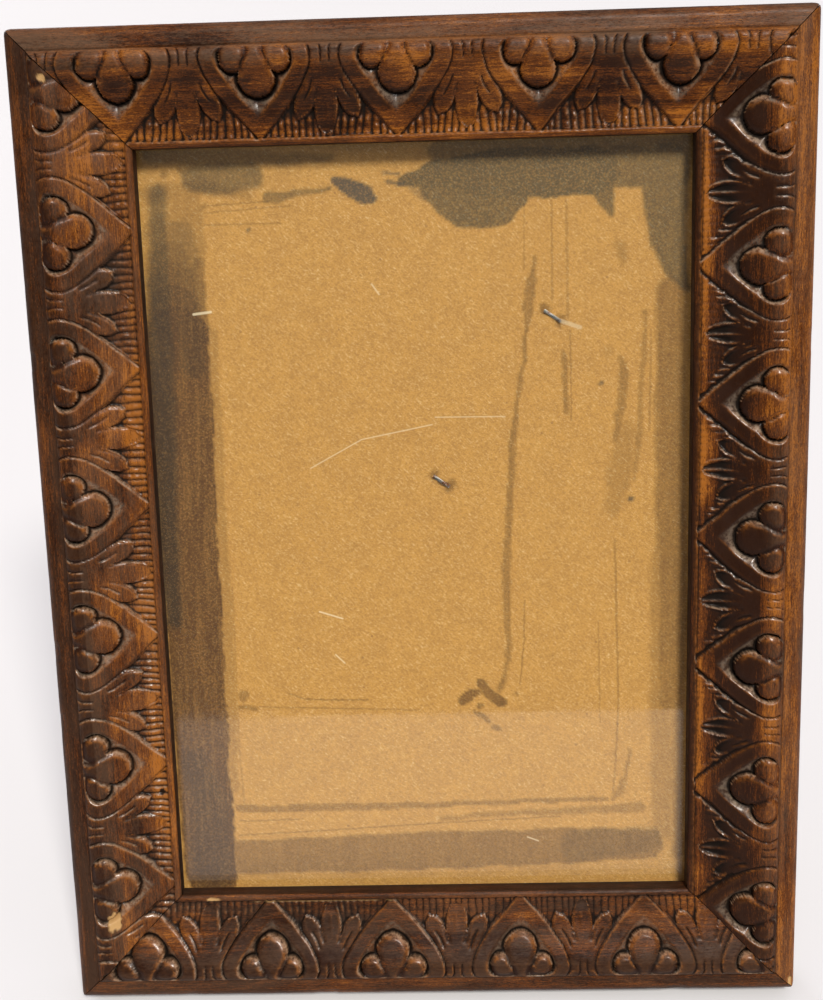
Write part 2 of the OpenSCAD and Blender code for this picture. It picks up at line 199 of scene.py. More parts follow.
class CarvedFrameLooks(bpy.types.PropertyGroup):
    """Colours of the finishes, and amounts of rubbing, with its painted highlight, and of waxing,
    from 0 to 1.
    """

    walnut_dark: shade("Dark walnut", "Stain in the grain", (0.020, 0.0056, 0.0014))
    walnut: shade("Walnut", "Main colour of the wood", (0.104, 0.028, 0.0040))
    # Light walnut also paints the highlight on rubbed edges that face the light.
    walnut_light: shade("Light walnut", "Streaks and rubbed wood", (0.32, 0.105, 0.012))
    bare_wood: shade("Bare wood", "Chips", (0.50, 0.30, 0.12))
    raw_wood: shade("Raw wood", "Unstained back of the sticks", (0.33, 0.18, 0.070))
    raw_dark: shade("Raw wood grain", "Grain of the unstained back", (0.12, 0.060, 0.022))
    # The crevice colour is black grime and painted shade in the cuts.
    crevice: shade("Crevices", "Black dirt in the cuts", (0.006, 0.0035, 0.002))
    # Old wax is paler than the wood: waxing and a painted sheen on the roll and the strip.
    wax_and_sheen: shade("Old wax", "Film of wax on the roll and the strip", (0.20, 0.115, 0.065))
    # Cut wood is a painted highlight on cut slopes that face the light, and pale dust in the
    # pockets.
    slope_highlight_and_dust_colour: shade("Cut wood", "Pale cut slopes that face the light", (0.37, 0.28, 0.19))
    board: shade("Fibreboard", "The board seen through the glass", (0.572, 0.283, 0.063))
    board_dark: shade("Board speckle", "Dark fibres", (0.30, 0.14, 0.04))
    board_fibre: shade("Board fibre", "Pale fibres", (0.80, 0.60, 0.33))
    brown_stain: shade("Brown stain", "Darkens the board", (0.175, 0.130, 0.060))
    # The grey stain is also a painted shadow of the lip along the board's top edge.
    grey_stain_and_shadow: shade("Grey stain", "Darkens the board", (0.18, 0.23, 0.35))
    ink: shade("Ink", "Dark spots on the board", (0.060, 0.045, 0.032))
    pale_fibre: shade("Pale fibre", "Torn fibres on the board", (0.82, 0.66, 0.45))
    board_back: shade("Board back", "Brown back of the board", (0.20, 0.105, 0.042))
    leg: shade("Leg", "Stained hardboard of the leg", (0.105, 0.046, 0.018))
    brass: shade("Brass", "Buttons and their screws", (0.60, 0.42, 0.17))
    tarnish: shade("Tarnish", "Brown film on brass", (0.13, 0.080, 0.035))
    steel: shade("Steel", "Hinge and nails", (0.42, 0.41, 0.39))
    rust: shade("Rust", "Rust on the steel", (0.17, 0.060, 0.020))
    floor: shade("Floor", "Plain pale floor", (0.80, 0.80, 0.80))
    # Wear: rubbed edges, and a painted highlight on edges and cut slopes that face the light.
    wear_and_highlight: FloatProperty(
        name="Wear", description="Rubbed edges and cut slopes", default=0.6, min=0, max=1,
        subtype="FACTOR")
    # Film: waxing, and a painted sheen, on the roll and the strip.
    film: FloatProperty(
        name="Film", description="Wax on the roll and the strip", default=0.6, min=0, max=1,
        subtype="FACTOR")


# Shader nodes


class Net:
    """Adds shader nodes to a tree and links each as it is made."""

    def __init__(self, tree):
        self.tree = tree

    def add(self, kind, inputs=None, **settings):
        """Adds a node, with its settings, and sets or links its inputs."""
        node = self.tree.nodes.new(kind)
        for name, value in settings.items():
            setattr(node, name, value)
        for name, value in (inputs or {}).items():
            self.feed(node.inputs[name], value)
        return node

    def feed(self, socket, value):
        """Links a socket to another node, or gives it a value."""
        if isinstance(value, bpy.types.NodeSocket):
            self.tree.links.new(value, socket)
        elif isinstance(value, bpy.types.Node):
            self.tree.links.new(value.outputs[0], socket)
        elif socket.type == "RGBA" and len(value) == 3:
            socket.default_value = (*value, 1)
        else:
            socket.default_value = value

    def math(self, operation, a, b=0.0, c=0.0, clamp=False):
        inputs = {0: a, 1: b, 2: c}
        return self.add("ShaderNodeMath", inputs, operation=operation, use_clamp=clamp).outputs[0]

    def times(self, a, b, clamp=False):
        return self.math("MULTIPLY", a, b, clamp=clamp)

    def total(self, *parts, clamp=False):
        """The sum of values, each times its weight."""
        result = 0.0
        for count, (value, weight) in enumerate(parts, 1):
            last = count == len(parts)
            result = self.math("MULTIPLY_ADD", value, weight, result, clamp=clamp and last)
        return result

    def vector(self, operation, a, b=(0, 0, 0), scale=None):
        node = self.add("ShaderNodeVectorMath", {0: a, 1: b}, operation=operation)
        if scale is not None:
            self.feed(node.inputs["Scale"], scale)
        return node.outputs["Value" if operation in ("LENGTH", "DOT_PRODUCT") else "Vector"]

    def drawn_out(self, place, share, y_share=1, z_share=1):
        """A place of which only those shares count, so that noise there is drawn out."""
        return self.vector("MULTIPLY", place, (share, y_share, z_share))

    def mix(self, amount, a, b, blend="MIX"):
        node = self.add(
            "ShaderNodeMix", {0: amount, 6: a, 7: b}, data_type="RGBA", blend_type=blend)
        return node.outputs[2]

    def noise(self, place, scale, detail=3.0, roughness=0.5, distortion=0.0):
        node = self.add("ShaderNodeTexNoise", {
            "Vector": place, "Scale": scale, "Detail": detail, "Roughness": roughness,
            "Distortion": distortion})
        return node.outputs["Fac"]

    def spread(self, value, low, high, to_low=0.0, to_high=1.0):
        """Maps low to high onto 0 to 1, or onto the last two numbers, and stops there."""
        node = self.add("ShaderNodeMapRange", {
            "Value": value, "From Min": low, "From Max": high,
            "To Min": to_low, "To Max": to_high}, interpolation_type="SMOOTHSTEP")
        return node.outputs["Result"]

    def named(self, attribute, output="Fac"):
        """One of the fields that a mesh carries."""
        node = self.add("ShaderNodeAttribute", attribute_name=attribute)
        return node.outputs[output]

    def group(self, tree, **inputs):
        """Places a shared group, whose inputs are named here with _ for a space."""
        node = self.add("ShaderNodeGroup")
        node.node_tree = tree
        for name, value in inputs.items():
            self.feed(node.inputs[name.replace("_", " ")], value)
        return node.outputs


SOCKETS = {
    "value": "NodeSocketFloat", "vector": "NodeSocketVector", "colour": "NodeSocketColor"}


def shared(name, inputs, outputs, fill):
    """The shader node group of that name, built by fill the first time it is asked for."""
    tree = bpy.data.node_groups.get(name)
    if tree:
        return tree
    tree = bpy.data.node_groups.new(name, "ShaderNodeTree")
    for label, (kind, default) in inputs.items():
        socket = tree.interface.new_socket(label, in_out="INPUT", socket_type=SOCKETS[kind])
        if default is not None:
            socket.default_value = (*default, 1) if kind == "colour" else default
    for label, kind in outputs.items():
        tree.interface.new_socket(label, in_out="OUTPUT", socket_type=SOCKETS[kind])
    net = Net(tree)
    source = net.add("NodeGroupInput").outputs
    sink = net.add("NodeGroupOutput").inputs
    for label, value in fill(net, source).items():
        net.feed(sink[label], value)
    return tree


def wood_grain():
    """Long streaks and pores. Place is in millimetres with the grain along x."""

    def fill(net, source):
        place = source["Place"]
        waves = net.noise(net.vector("SCALE", place, scale=0.03), 1.0, 2.0)
        waves = net.vector("SCALE", waves, scale=2.0)
        wavy = net.vector("ADD", net.drawn_out(place, 0.03), waves)
        broad = net.noise(wavy, 0.5, 3.0, 0.6, 0.3)
        fine = net.noise(net.drawn_out(place, 0.06), 2.6, 3.0, 0.6)
        hairs = net.noise(net.drawn_out(place, 0.12), 6.5, 2.0, 0.6)
        warm = net.math("SUBTRACT", net.noise(net.drawn_out(place, 0.35), 0.10, 3.0, 0.6), 0.5)
        stipple = net.math("SUBTRACT", net.noise(net.drawn_out(place, 0.5), 5.0, 2.0, 0.7), 0.5)
        tone = net.total((broad, 0.36), (fine, 0.30), (hairs, 0.34), (warm, 0.35),
                         (stipple, 0.30), (source["Stain"], -0.13))
        colour = net.mix(net.spread(tone, 0.38, 0.52), source["Dark"], source["Colour"])
        colour = net.mix(net.spread(tone, 0.51, 0.66), colour, source["Light"])
        pores = net.spread(net.noise(net.drawn_out(place, 0.16), 7.5, 1.0), 0.66, 0.74)
        colour = net.mix(net.times(pores, 0.75), colour, source["Dark"])
        return {"Colour": colour, "Height": net.total((fine, 0.5), (pores, -1.0)), "Tone": tone}

    return shared(
        "Wood grain",
        {"Place": ("vector", None), "Dark": ("colour", (0.02, 0.01, 0.0)),
         "Colour": ("colour", (0.1, 0.05, 0.01)), "Light": ("colour", (0.3, 0.15, 0.04)),
         "Stain": ("value", 0.0)},
        {"Colour": "colour", "Height": "value", "Tone": "value"}, fill)


def patchy_film():
    """A film of another colour over a masked part, thick and thin by noise along the grain."""

    def fill(net, source):
        broad = net.noise(net.drawn_out(source["Place"], 0.25), 0.16, 4.0, 0.65)
        grains = net.noise(net.drawn_out(source["Place"], 0.35), 2.6, 3.0, 0.7)
        broken = net.spread(net.total((broad, 0.62), (grains, 0.38)), 0.36, 0.62)
        cover = net.times(broken, source["Mask"], clamp=True)
        cover = net.times(cover, source["Amount"], clamp=True)
        return {"Colour": net.mix(cover, source["Colour"], source["Film"])}

    return shared(
        "Patchy film",
        {"Colour": ("colour", None), "Film": ("colour", (0.2, 0.13, 0.1)),
         "Mask": ("value", 0.0), "Amount": ("value", 0.5), "Place": ("vector", None)},
        {"Colour": "colour"}, fill)


def edge_wear_and_highlight():
    """Shows a paler colour on edges that stand out, in broken touches: rubbed wood, and on the
    walnut also a painted highlight on edges and cut slopes that face the light.
    """

    def fill(net, source):
        touches = net.spread(net.noise(source["Place"], 1.1, 4.0, 0.65), 0.36, 0.60, 0.15, 1.0)
        cover = net.times(net.times(source["Edge"], touches), source["Amount"], clamp=True)
        return {"Colour": net.mix(cover, source["Colour"], source["Worn"]), "Cover": cover}

    return shared(
        "Edge wear",
        {"Colour": ("colour", None), "Worn": ("colour", (0.4, 0.2, 0.1)),
         "Edge": ("value", 0.0), "Amount": ("value", 0.5), "Place": ("vector", None)},
        {"Colour": "colour", "Cover": "value"}, fill)


def fine_marks():
    """Small scratches and pitting as a height, and smears as a roughness change."""

    def fill(net, source):
        place = source["Place"]
        long_way = net.spread(net.noise(net.drawn_out(place, 0.2), 2.8, 2.0, 0.6), 0.64, 0.72)
        cross_way = net.noise(net.drawn_out(place, 1, 0.25), 2.1, 2.0, 0.6)
        scratches = net.math("MAXIMUM", long_way, net.spread(cross_way, 0.67, 0.74))
        pits = net.times(net.noise(place, 6.0, 2.0, 0.6), 0.4)
        height = net.math("SUBTRACT", pits, net.times(scratches, source["Scratches"]))
        smears = net.noise(place, 0.22, 4.0, 0.6)
        return {"Height": height, "Smears": smears, "Scratches": scratches}

    return shared(
        "Fine marks",
        {"Place": ("vector", None), "Scratches": ("value", 0.5)},
        {"Height": "value", "Smears": "value", "Scratches": "value"}, fill)


def pressed_fibre():
    """Fibreboard: short fibres that mostly lie one way, with dark specks among them."""

    def fill(net, source):
        place = source["Place"]
        ground = net.noise(place, 0.30, 5.0, 0.65)
        lying = 0.0
        for angle, stretch, faint in ((-0.8, 4.2, 0.0), (-0.25, 3.4, 0.02), (0.7, 3.0, 0.04)):
            turned = net.add("ShaderNodeMapping", {
                "Vector": place, "Rotation": (0, 0, angle), "Scale": (stretch, 1, 1)},
                vector_type="TEXTURE")
            strands = net.math("SUBTRACT", net.noise(turned, 3.2, 2.0, 0.6), 0.07 + faint)
            lying = net.math("MAXIMUM", lying, strands)
        crumbs = net.noise(place, 2.2, 3.0, 0.75)
        texture = net.total((lying, 0.65), (crumbs, 0.35))
        dark = source["Dark"]
        colour = net.mix(net.spread(ground, 0.34, 0.66, 0.0, 0.22), source["Colour"], dark)
        colour = net.mix(net.spread(texture, 0.41, 0.50, 0.46, 0.0), colour, dark)
        colour = net.mix(net.spread(texture, 0.52, 0.61, 0.0, 0.42), colour, source["Fibre"])
        cells = net.add("ShaderNodeTexVoronoi", {
            "Vector": place, "Scale": 0.42, "Randomness": 1.0})
        chance = net.add("ShaderNodeSeparateColor", {0: cells.outputs["Color"]}).outputs
        radius = net.spread(chance["Red"], 0.55, 1.0, 0.02, 0.14)
        specks = net.math("LESS_THAN", cells.outputs["Distance"], radius)
        specks = net.times(specks, net.spread(chance["Green"], 0.3, 1.0, 0.0, 0.8))
        colour = net.mix(specks, colour, dark)
        return {"Colour": colour, "Height": net.math("SUBTRACT", texture, specks)}

    return shared(
        "Pressed fibre",
        {"Place": ("vector", None), "Colour": ("colour", (0.6, 0.4, 0.15)),
         "Dark": ("colour", (0.3, 0.15, 0.05)), "Fibre": ("colour", (0.8, 0.6, 0.3))},
        {"Colour": "colour", "Height": "value"}, fill)


def brush_mark():
    """How far a place lies within a soft stroke from Start to End, from 0 to 1."""

    def fill(net, source):
        along = net.vector("SUBTRACT", source["End"], source["Start"])
        away = net.vector("SUBTRACT", source["Place"], source["Start"])
        length = net.math("MAXIMUM", net.vector("DOT_PRODUCT", along, along), 0.0001)
        part = net.math("DIVIDE", net.vector("DOT_PRODUCT", away, along), length, clamp=True)
        nearest = net.vector("SCALE", along, scale=part)
        distance = net.vector("LENGTH", net.vector("SUBTRACT", away, nearest))
        inner = net.math("SUBTRACT", source["Width"], source["Soft"])
        outer = net.math("ADD", source["Width"], source["Soft"])
        mark = net.spread(distance, inner, outer, 1.0, 0.0)
        return {"Mark": net.times(mark, source["Strength"])}

    return shared(
        "Brush mark",
        {"Place": ("vector", None), "Start": ("vector", None), "End": ("vector", None),
         "Width": ("value", 1.0), "Soft": ("value", 0.5), "Strength": ("value", 1.0)},
        {"Mark": "value"}, fill)


def metal_film():
    """Metal with a film of tarnish or rust in blotches."""

    def fill(net, source):
        place = source["Place"]
        blotches = net.noise(place, 0.5, 5.0, 0.65)
        specks = net.noise(place, 2.6, 3.0, 0.7)
        film = net.total((blotches, 0.65), (specks, 0.35))
        low = net.math("SUBTRACT", 0.72, net.times(source["Amount"], 0.36))
        cover = net.spread(film, low, net.math("ADD", low, 0.16))
        colour = net.mix(cover, source["Colour"], source["Film"])
        return {"Colour": colour,
                "Roughness": net.total((cover, 0.30), (specks, 0.18), (0.22, 1.0))}

    return shared(
        "Metal film",
        {"Place": ("vector", None), "Colour": ("colour", (0.5, 0.5, 0.5)),
         "Film": ("colour", (0.1, 0.05, 0.02)), "Amount": ("value", 0.5)},
        {"Colour": "colour", "Roughness": "value"}, fill)


def start_material(name):
    """A new, empty material and its net to fill."""
    material = bpy.data.materials.new(name)
    material.use_nodes = True
    material.node_tree.nodes.clear()
    return material, Net(material.node_tree)


def finish_surface(net, colour, roughness, height=None, bump=0.2, depth=0.05, **fixed):
    """The shader itself, with its other sockets in fixed. height is in parts of depth, which
    is in millimetres."""
    shader = net.add("ShaderNodeBsdfPrincipled", {"Base Color": colour, "Roughness": roughness})
    for name, value in fixed.items():
        net.feed(shader.inputs[name.replace("_", " ")], value)
    if height is not None:
        relief = net.add("ShaderNodeBump", {
            "Height": height, "Strength": bump, "Distance": depth * MM})
        net.feed(shader.inputs["Normal"], relief.outputs[0])
    output = net.add("ShaderNodeOutputMaterial")
    net.feed(output.inputs["Surface"], shader.outputs[0])


def own_place(net):
    """The place in a piece's own mesh, in millimetres, which moves with the piece."""
    place = net.add("ShaderNodeTexCoord").outputs["Object"]
    return net.add("ShaderNodeMapping", {"Vector": place, "Scale": (1 / MM,) * 3})


def plane_place(net):
    """The place in the frame's plane, in millimetres, that each point of a piece has at
    rest."""
    place = net.add("ShaderNodeTexCoord").outputs["Object"]
    turn = TO_PLANE.to_euler()
    shift = TO_PLANE.translation / MM
    node = net.add("ShaderNodeMapping", {
        "Vector": place, "Location": shift, "Rotation": turn, "Scale": (1 / MM,) * 3})
    return node.outputs["Vector"]


def walnut_material(looks):
    """Carved, stained and waxed walnut. The sticks carry its places and masks: hollow is the
    grime and painted shade in the cuts, edge is the rubbed edges that face the light, partly a
    painted highlight, slope is a painted highlight on cut slopes that face the light and pale
    dust in the pockets, film is the waxed film with a painted sheen, stain is how dark the wood
    is, chip is bare wood and raw is the unstained back."""
    material, net = start_material("carved_walnut")
    place = net.named("stick_place", "Vector")
    hollow = net.named("hollow")
    raw = net.named("raw")
    grain = net.group(wood_grain(), Place=place, Dark=looks.walnut_dark, Colour=looks.walnut,
                      Light=looks.walnut_light, Stain=net.named("stain"))
    # The waxed film is paler than the wood, and also a painted sheen on the roll and the strip.
    filmed = net.group(patchy_film(), Colour=grain["Colour"], Film=looks.wax_and_sheen, Place=place,
                       Mask=net.named("film"), Amount=looks.film)
    # Rubbed edges that face the light: rubbing and a painted highlight.
    edge_highlight_and_wear = net.group(edge_wear_and_highlight(), Colour=filmed["Colour"], Worn=looks.walnut_light,
                     Edge=net.named("edge"), Amount=looks.wear_and_highlight, Place=place)
    # A painted highlight on cut slopes that face the light, and pale dust in the pockets.
    slope_highlight_and_dust = net.group(edge_wear_and_highlight(), Colour=edge_highlight_and_wear["Colour"], Worn=looks.slope_highlight_and_dust_colour,
                       Edge=net.named("slope"), Amount=looks.wear_and_highlight, Place=place)
    # Black grime and painted shade in the cuts.
    dirt_and_shade_colour = net.mix(hollow, slope_highlight_and_dust["Colour"], looks.crevice)
    bare = net.mix(net.spread(grain["Tone"], 0.34, 0.60), looks.raw_dark, looks.raw_wood)
    grime = net.spread(net.noise(place, 0.05, 4.0, 0.65), 0.45, 0.68, 0.0, 0.6)
    bare = net.mix(grime, bare, looks.walnut)
    saw_marks = net.times(net.noise(net.drawn_out(place, 1.5, 0.06, 0.06), 1.0, 2.0), raw)
    colour = net.mix(raw, dirt_and_shade_colour, bare)
    colour = net.mix(net.named("chip"), colour, looks.bare_wood)
    glints = net.total((edge_highlight_and_wear["Cover"], 0.5), (slope_highlight_and_dust["Cover"], 1.0), clamp=True)
    marks = net.group(fine_marks(), Place=place, Scratches=0.5)
    smears = net.spread(marks["Smears"], 0.3, 0.7, 0.34, 0.52)
    rough = net.total((smears, 1.0), (hollow, 0.35), (raw, 0.25), clamp=True)
    height = net.total((grain["Height"], 1.0), (marks["Height"], 0.6), (saw_marks, 2.0))
    finish_surface(net, colour, rough, height, bump=0.75, depth=0.08, Specular_IOR_Level=0.12,
                   Coat_Weight=glints, Coat_Roughness=0.22)
    return material


# Water marks and grime on the board, drawn one by one, and along its top edge a painted
# shadow of the lip. Each has its strength and softness, and then the places that it runs
# through, with half its width there, all in millimetres from the board's middle.
BROWN_STAINS = (
    (1.00, 0.3, (-52, 44, 7), (-52, 30, 7), (-52, -5, 6.4), (-52, -58, 6.2), (-51.5, -81, 6)),
    (0.88, 1.2, (-52, 50, 6.2), (-52, 44, 6.8)),
    (0.74, 1.4, (-52, 55, 5.8), (-52, 46, 6.6)),
    (0.56, 1.6, (-52.4, 60, 5.2), (-52, 50, 6.4)),
    (0.34, 1.6, (-53, 66, 4.4), (-52, 54, 6.0)),
    (0.62, 0.25, (-46.3, 60, 1.1), (-46.3, 46, 1.5)),
    (0.35, 0.8, (-48.3, 73, 3), (-48.3, 63, 3.8)),
    (0.70, 1.2, (-50.4, -5, 3.5), (-50.6, -24, 3.8), (-50.4, -50, 3)),
    (0.30, 0.4, (-44, 45, 0.9), (-44.4, 17, 1.1), (-44.6, -15, 1.3), (-44.8, -60, 0.9)),
    (0.62, 0.3, (-44, -76.7, 4.1), (0, -75.8, 4.6), (30, -75, 4.4), (49.5, -75, 3.7)),
    (0.30, 0.4, (11, -76.5, 2.8), (48, -75.7, 3.2)),
    (0.50, 0.2, (-44, -64.7, 0.9), (-23, -64.6, 0.9), (0, -64.5, 0.7), (40, -63.5, 0.5)),
    (0.42, 0.4, (2, -67.8, 0.4), (16, -67, 0.6), (30, -66.5, 0.8), (48, -65.8, 1.2)),
    (0.42, 0.3, (41.5, -63.5, 0.5), (43.3, -61.8, 1), (44.6, -57.5, 0.5), (45.5, -51.5, 0.4)),
    (0.52, 0.2, (25, 59, 0.2), (24.3, 53, 1.1), (23.6, 48, 1.1), (23, 43.5, 0.4)),
    (0.52, 0.25, (23, 42.5, 0.4), (21.7, 33, 0.5), (20.2, 22, 0.7), (19, 6.5, 0.8), (18, -9, 0.9),
     (18, -21, 0.7), (18.2, -28, 0.6), (17.7, -32.5, 0.5), (16.3, -36.8, 0.6)),
    (0.78, 0.2, (12, -35.3, 0.9), (14.4, -38, 1.3), (16.7, -40, 1.3)),
    (0.78, 0.2, (7.9, -39.5, 1.1), (9.5, -38, 1.3), (11, -37.2, 0.9)),
    (0.62, 0.2, (12, -40.8, 0.9)),
    (0.60, 0.2, (10.8, -42.2, 0.5), (12.8, -43.4, 0.7), (13.9, -44.4, 0.5)),
    (0.50, 0.2, (14.8, -45.8, 0.5), (16.3, -46.3, 0.5)),
    (0.55, 0.2, (20.2, -37.8, 0.5)),
    (0.55, 0.3, (-41.7, -37.3, 1.3)),
    (0.50, 0.2, (-43, -40, 0.7), (-39.4, -40.3, 0.5)),
    (0.50, 0.25, (31, 38.5, 0.4), (31.3, 33.5, 0.6), (31.5, 26, 0.6)),
    (0.48, 0.3, (43, 37.3, 0.4), (44, 33.5, 1.1), (43.5, 28, 0.9), (42, 19.5, 0.6)),
    (0.28, 1.1, (44.5, 21.5, 2.2), (43, 12.5, 3), (41.5, 3.5, 1.3)),
    (0.38, 0.3, (48.4, 47, 0.4), (48, 32, 0.6), (47, 19, 0.6), (46.2, 10.5, 0.5)),
    (0.22, 0.9, (40.5, 38.5, 1.3)),
    (0.32, 0.9, (43, 61, 1), (43.7, 58.5, 1.2)),
    (0.60, 0.8, (53.5, 51, 2.8), (54, 17, 3.2), (54.8, -21.5, 3.3), (54.7, -40, 3)),
    (0.34, 0.9, (52, -8, 2.2), (52.7, -72, 2.3)),
    (0.40, 0.6, (55.8, -17, 1.3), (56.4, -77, 1.6)),
    (0.45, 0.4, (-52, 67.7, 0.8), (-49.5, 68.3, 0.6), (-47, 70, 0.6), (-44.3, 71.5, 0.5)),
    (0.50, 0.35, (-52.3, 78, 0.7)),
    (0.45, 0.3, (-54, 79.6, 0.5)),
    (0.50, 0.4, (-48.9, 79, 0.7)),
    (0.40, 0.3, (-47, 76, 0.6)),
    (0.38, 0.9, (-56, 74, 2), (-44, 75.4, 1.5), (-34.7, 73, 0.6)),
)
GREY_STAINS_AND_SHADOW = (
    (0.72, 1.1, (-54, 74, 1.9), (-55.4, 45.5, 2.8), (-57, -5, 2.6), (-56.5, -19, 2)),
    (0.38, 0.8, (-49.6, 66, 2.6), (-49, 52, 3.4), (-49, 38, 3)),
    (0.72, 0.8, (-46, 77.3, 2.9), (-40, 77.3, 3.5), (-34.5, 77.4, 3)),
    # Grey stain along the top edge, with a painted shadow of the lip.
    (0.55, 0.8, (-55.3, 82, 1.6), (-40.5, 81.4, 1.8), (-24, 80.7, 1.2), (-17.5, 80.8, 0.8)),
    # A painted shadow of the lip, along the whole top edge.
    (0.25, 1.1, (-57, 83.5, 1), (0, 82.7, 1), (57.5, 81.8, 1)),
    (0.62, 0.3, (-31, 73, 1.2), (-28.3, 73, 1), (-25.8, 73.4, 0.8), (-22, 74, 0.5),
     (-17.7, 74.4, 0.4)),
    (0.85, 0.3, (2.3, 74.5, 1.6), (6.4, 71.3, 2.9), (10.6, 69, 3.7), (18, 69.3, 3.7),
     (21, 71, 2.5)),
    (0.90, 0.3, (-2, 75.6, 1.2), (5.5, 76.4, 3.3), (18, 76.7, 5.4), (30.5, 76.3, 5), (38, 76.5, 5)),
    # Grey stain along the top edge, with a painted shadow of the lip.
    (0.66, 0.8, (5.6, 81.5, 2.5), (57.5, 80.4, 2.9)),
    (0.80, 0.4, (38.5, 75.5, 3.3), (40.2, 70.3, 1.9), (41.4, 67.6, 0.8)),
    (0.80, 0.4, (43, 77.4, 4.5), (47, 77, 4.5)),
    (0.82, 0.6, (52.4, 77, 5.2), (52.3, 70, 4.6), (53, 61.7, 4), (55, 55.5, 2.5), (57, 52, 1)),
    (0.35, 1.7, (-54, -53, 3.2), (-51, -62.5, 4), (-51, -79.5, 5)),
    (0.30, 0.6, (33, -75.2, 3.7), (49.3, -73.7, 3.4)),
)
INK_STAINS = (
    (0.88, 0.25, (-16.6, 75.8, 0.8), (-14.5, 74.7, 1.6), (-12.5, 74, 2), (-10.2, 72.6, 1.8),
     (-9.2, 72, 1.2)),
    (0.70, 0.25, (-6, 77.2, 0.35), (-3.3, 77, 0.35)),
    (0.75, 0.25, (-5.5, 75.3, 0.4), (-2, 74.8, 0.4)),
    (0.45, 0.6, (-1, 74.4, 0.4), (2, 72.2, 0.6)),
    (0.70, 0.25, (-35.4, 66.2, 0.5)),
    (0.70, 0.25, (39, 31.6, 0.5)),
    (0.80, 0.25, (45.2, 6.3, 0.6)),
)

# Lines too thin for the mesh: half the width, the softness, the strength and the points.
BROWN_LINES = (
    (0.2, 0.12, 0.35, (-44.3, 71.5), (-31, 72)),
    (0.2, 0.12, 0.30, (-44.5, 70), (-26.5, 71)),
    (0.2, 0.12, 0.30, (-44.5, 67.5), (-28.5, 67.5)),
    (0.25, 0.15, 0.30, (28.7, 70.5), (28.7, 50)),
    (0.3, 0.2, 0.30, (31.8, 70.5), (32, 46)),
    (0.2, 0.12, 0.25, (23, 70), (22.8, 56.5)),
    (0.2, 0.12, 0.35, (-44.3, -67.7), (-30.5, -67.5)),
    (0.2, 0.12, 0.35, (-44.5, -71.2), (-23.5, -70.3), (0, -69), (29.5, -67.7)),
    (0.25, 0.15, 0.35, (41.7, -62.3), (42.4, -50), (42.8, -40), (42, -3)),
    (0.2, 0.12, 0.35, (20.8, -35.5), (21.8, -25.5), (22, -16.3)),
    (0.18, 0.12, 0.35, (-39.4, -40), (-2, -41.4)),
    (0.22, 0.12, 0.40, (-31.3, -37), (-28, -38.3), (-22, -38.7), (-13.6, -38.8)),
    (0.2, 0.12, 0.35, (32.5, 43.3), (32.6, 24)),
    (0.25, 0.15, 0.28, (49.7, 43), (49.4, 21.3)),
    (0.2, 0.12, 0.25, (38.3, -21.3), (38.7, -45)),
    (0.25, 0.15, 0.25, (-43, -12), (-43.4, -50), (-43, -64)),
    (0.2, 0.12, 0.25, (50.5, 28), (51, -8)),
    (0.45, 0.2, 0.80, (3.7, 10.9), (5, 10.2)),
)
PALE_FIBRES = (
    (0.27, 0.12, 0.75, (-48, 48.8), (-44.3, 49.2)),
    (0.42, 0.2, 0.40, (30.6, 45.3), (34.6, 43.9)),
    (0.13, 0.08, 0.50, (-24.3, 14.7), (-12.9, 20.8), (2.5, 23.7)),
    (0.13, 0.08, 0.45, (3.2, 25.3), (18.3, 25.1)),
    (0.17, 0.08, 0.70, (-23.7, -17.9), (-18.6, -19.6)),
    (0.16, 0.08, 0.60, (-20.5, -28), (-18.5, -30)),
    (0.15, 0.08, 0.60, (22, -72.7), (24.5, -73.7)),
    (0.17, 0.1, 0.50, (-9.6, 54.2), (-8.1, 52)),
)

# How closely the wire screen's dents lie on the back of the board, in radians a millimetre.
SCREEN_WAVES = 4.6


def drawn_marks(net, place, marks):
    """How strongly any of the marks covers a place, from 0 to 1."""
    covered = None
    for width, soft, strength, *points in marks:
        for start, end in zip(points[:-1], points[1:]):
            mark = net.group(brush_mark(), Place=place, Start=(*start, 0), End=(*end, 0),
                             Width=width, Soft=soft, Strength=strength)["Mark"]
            covered = mark if covered is None else net.math("MAXIMUM", covered, mark)
    return covered


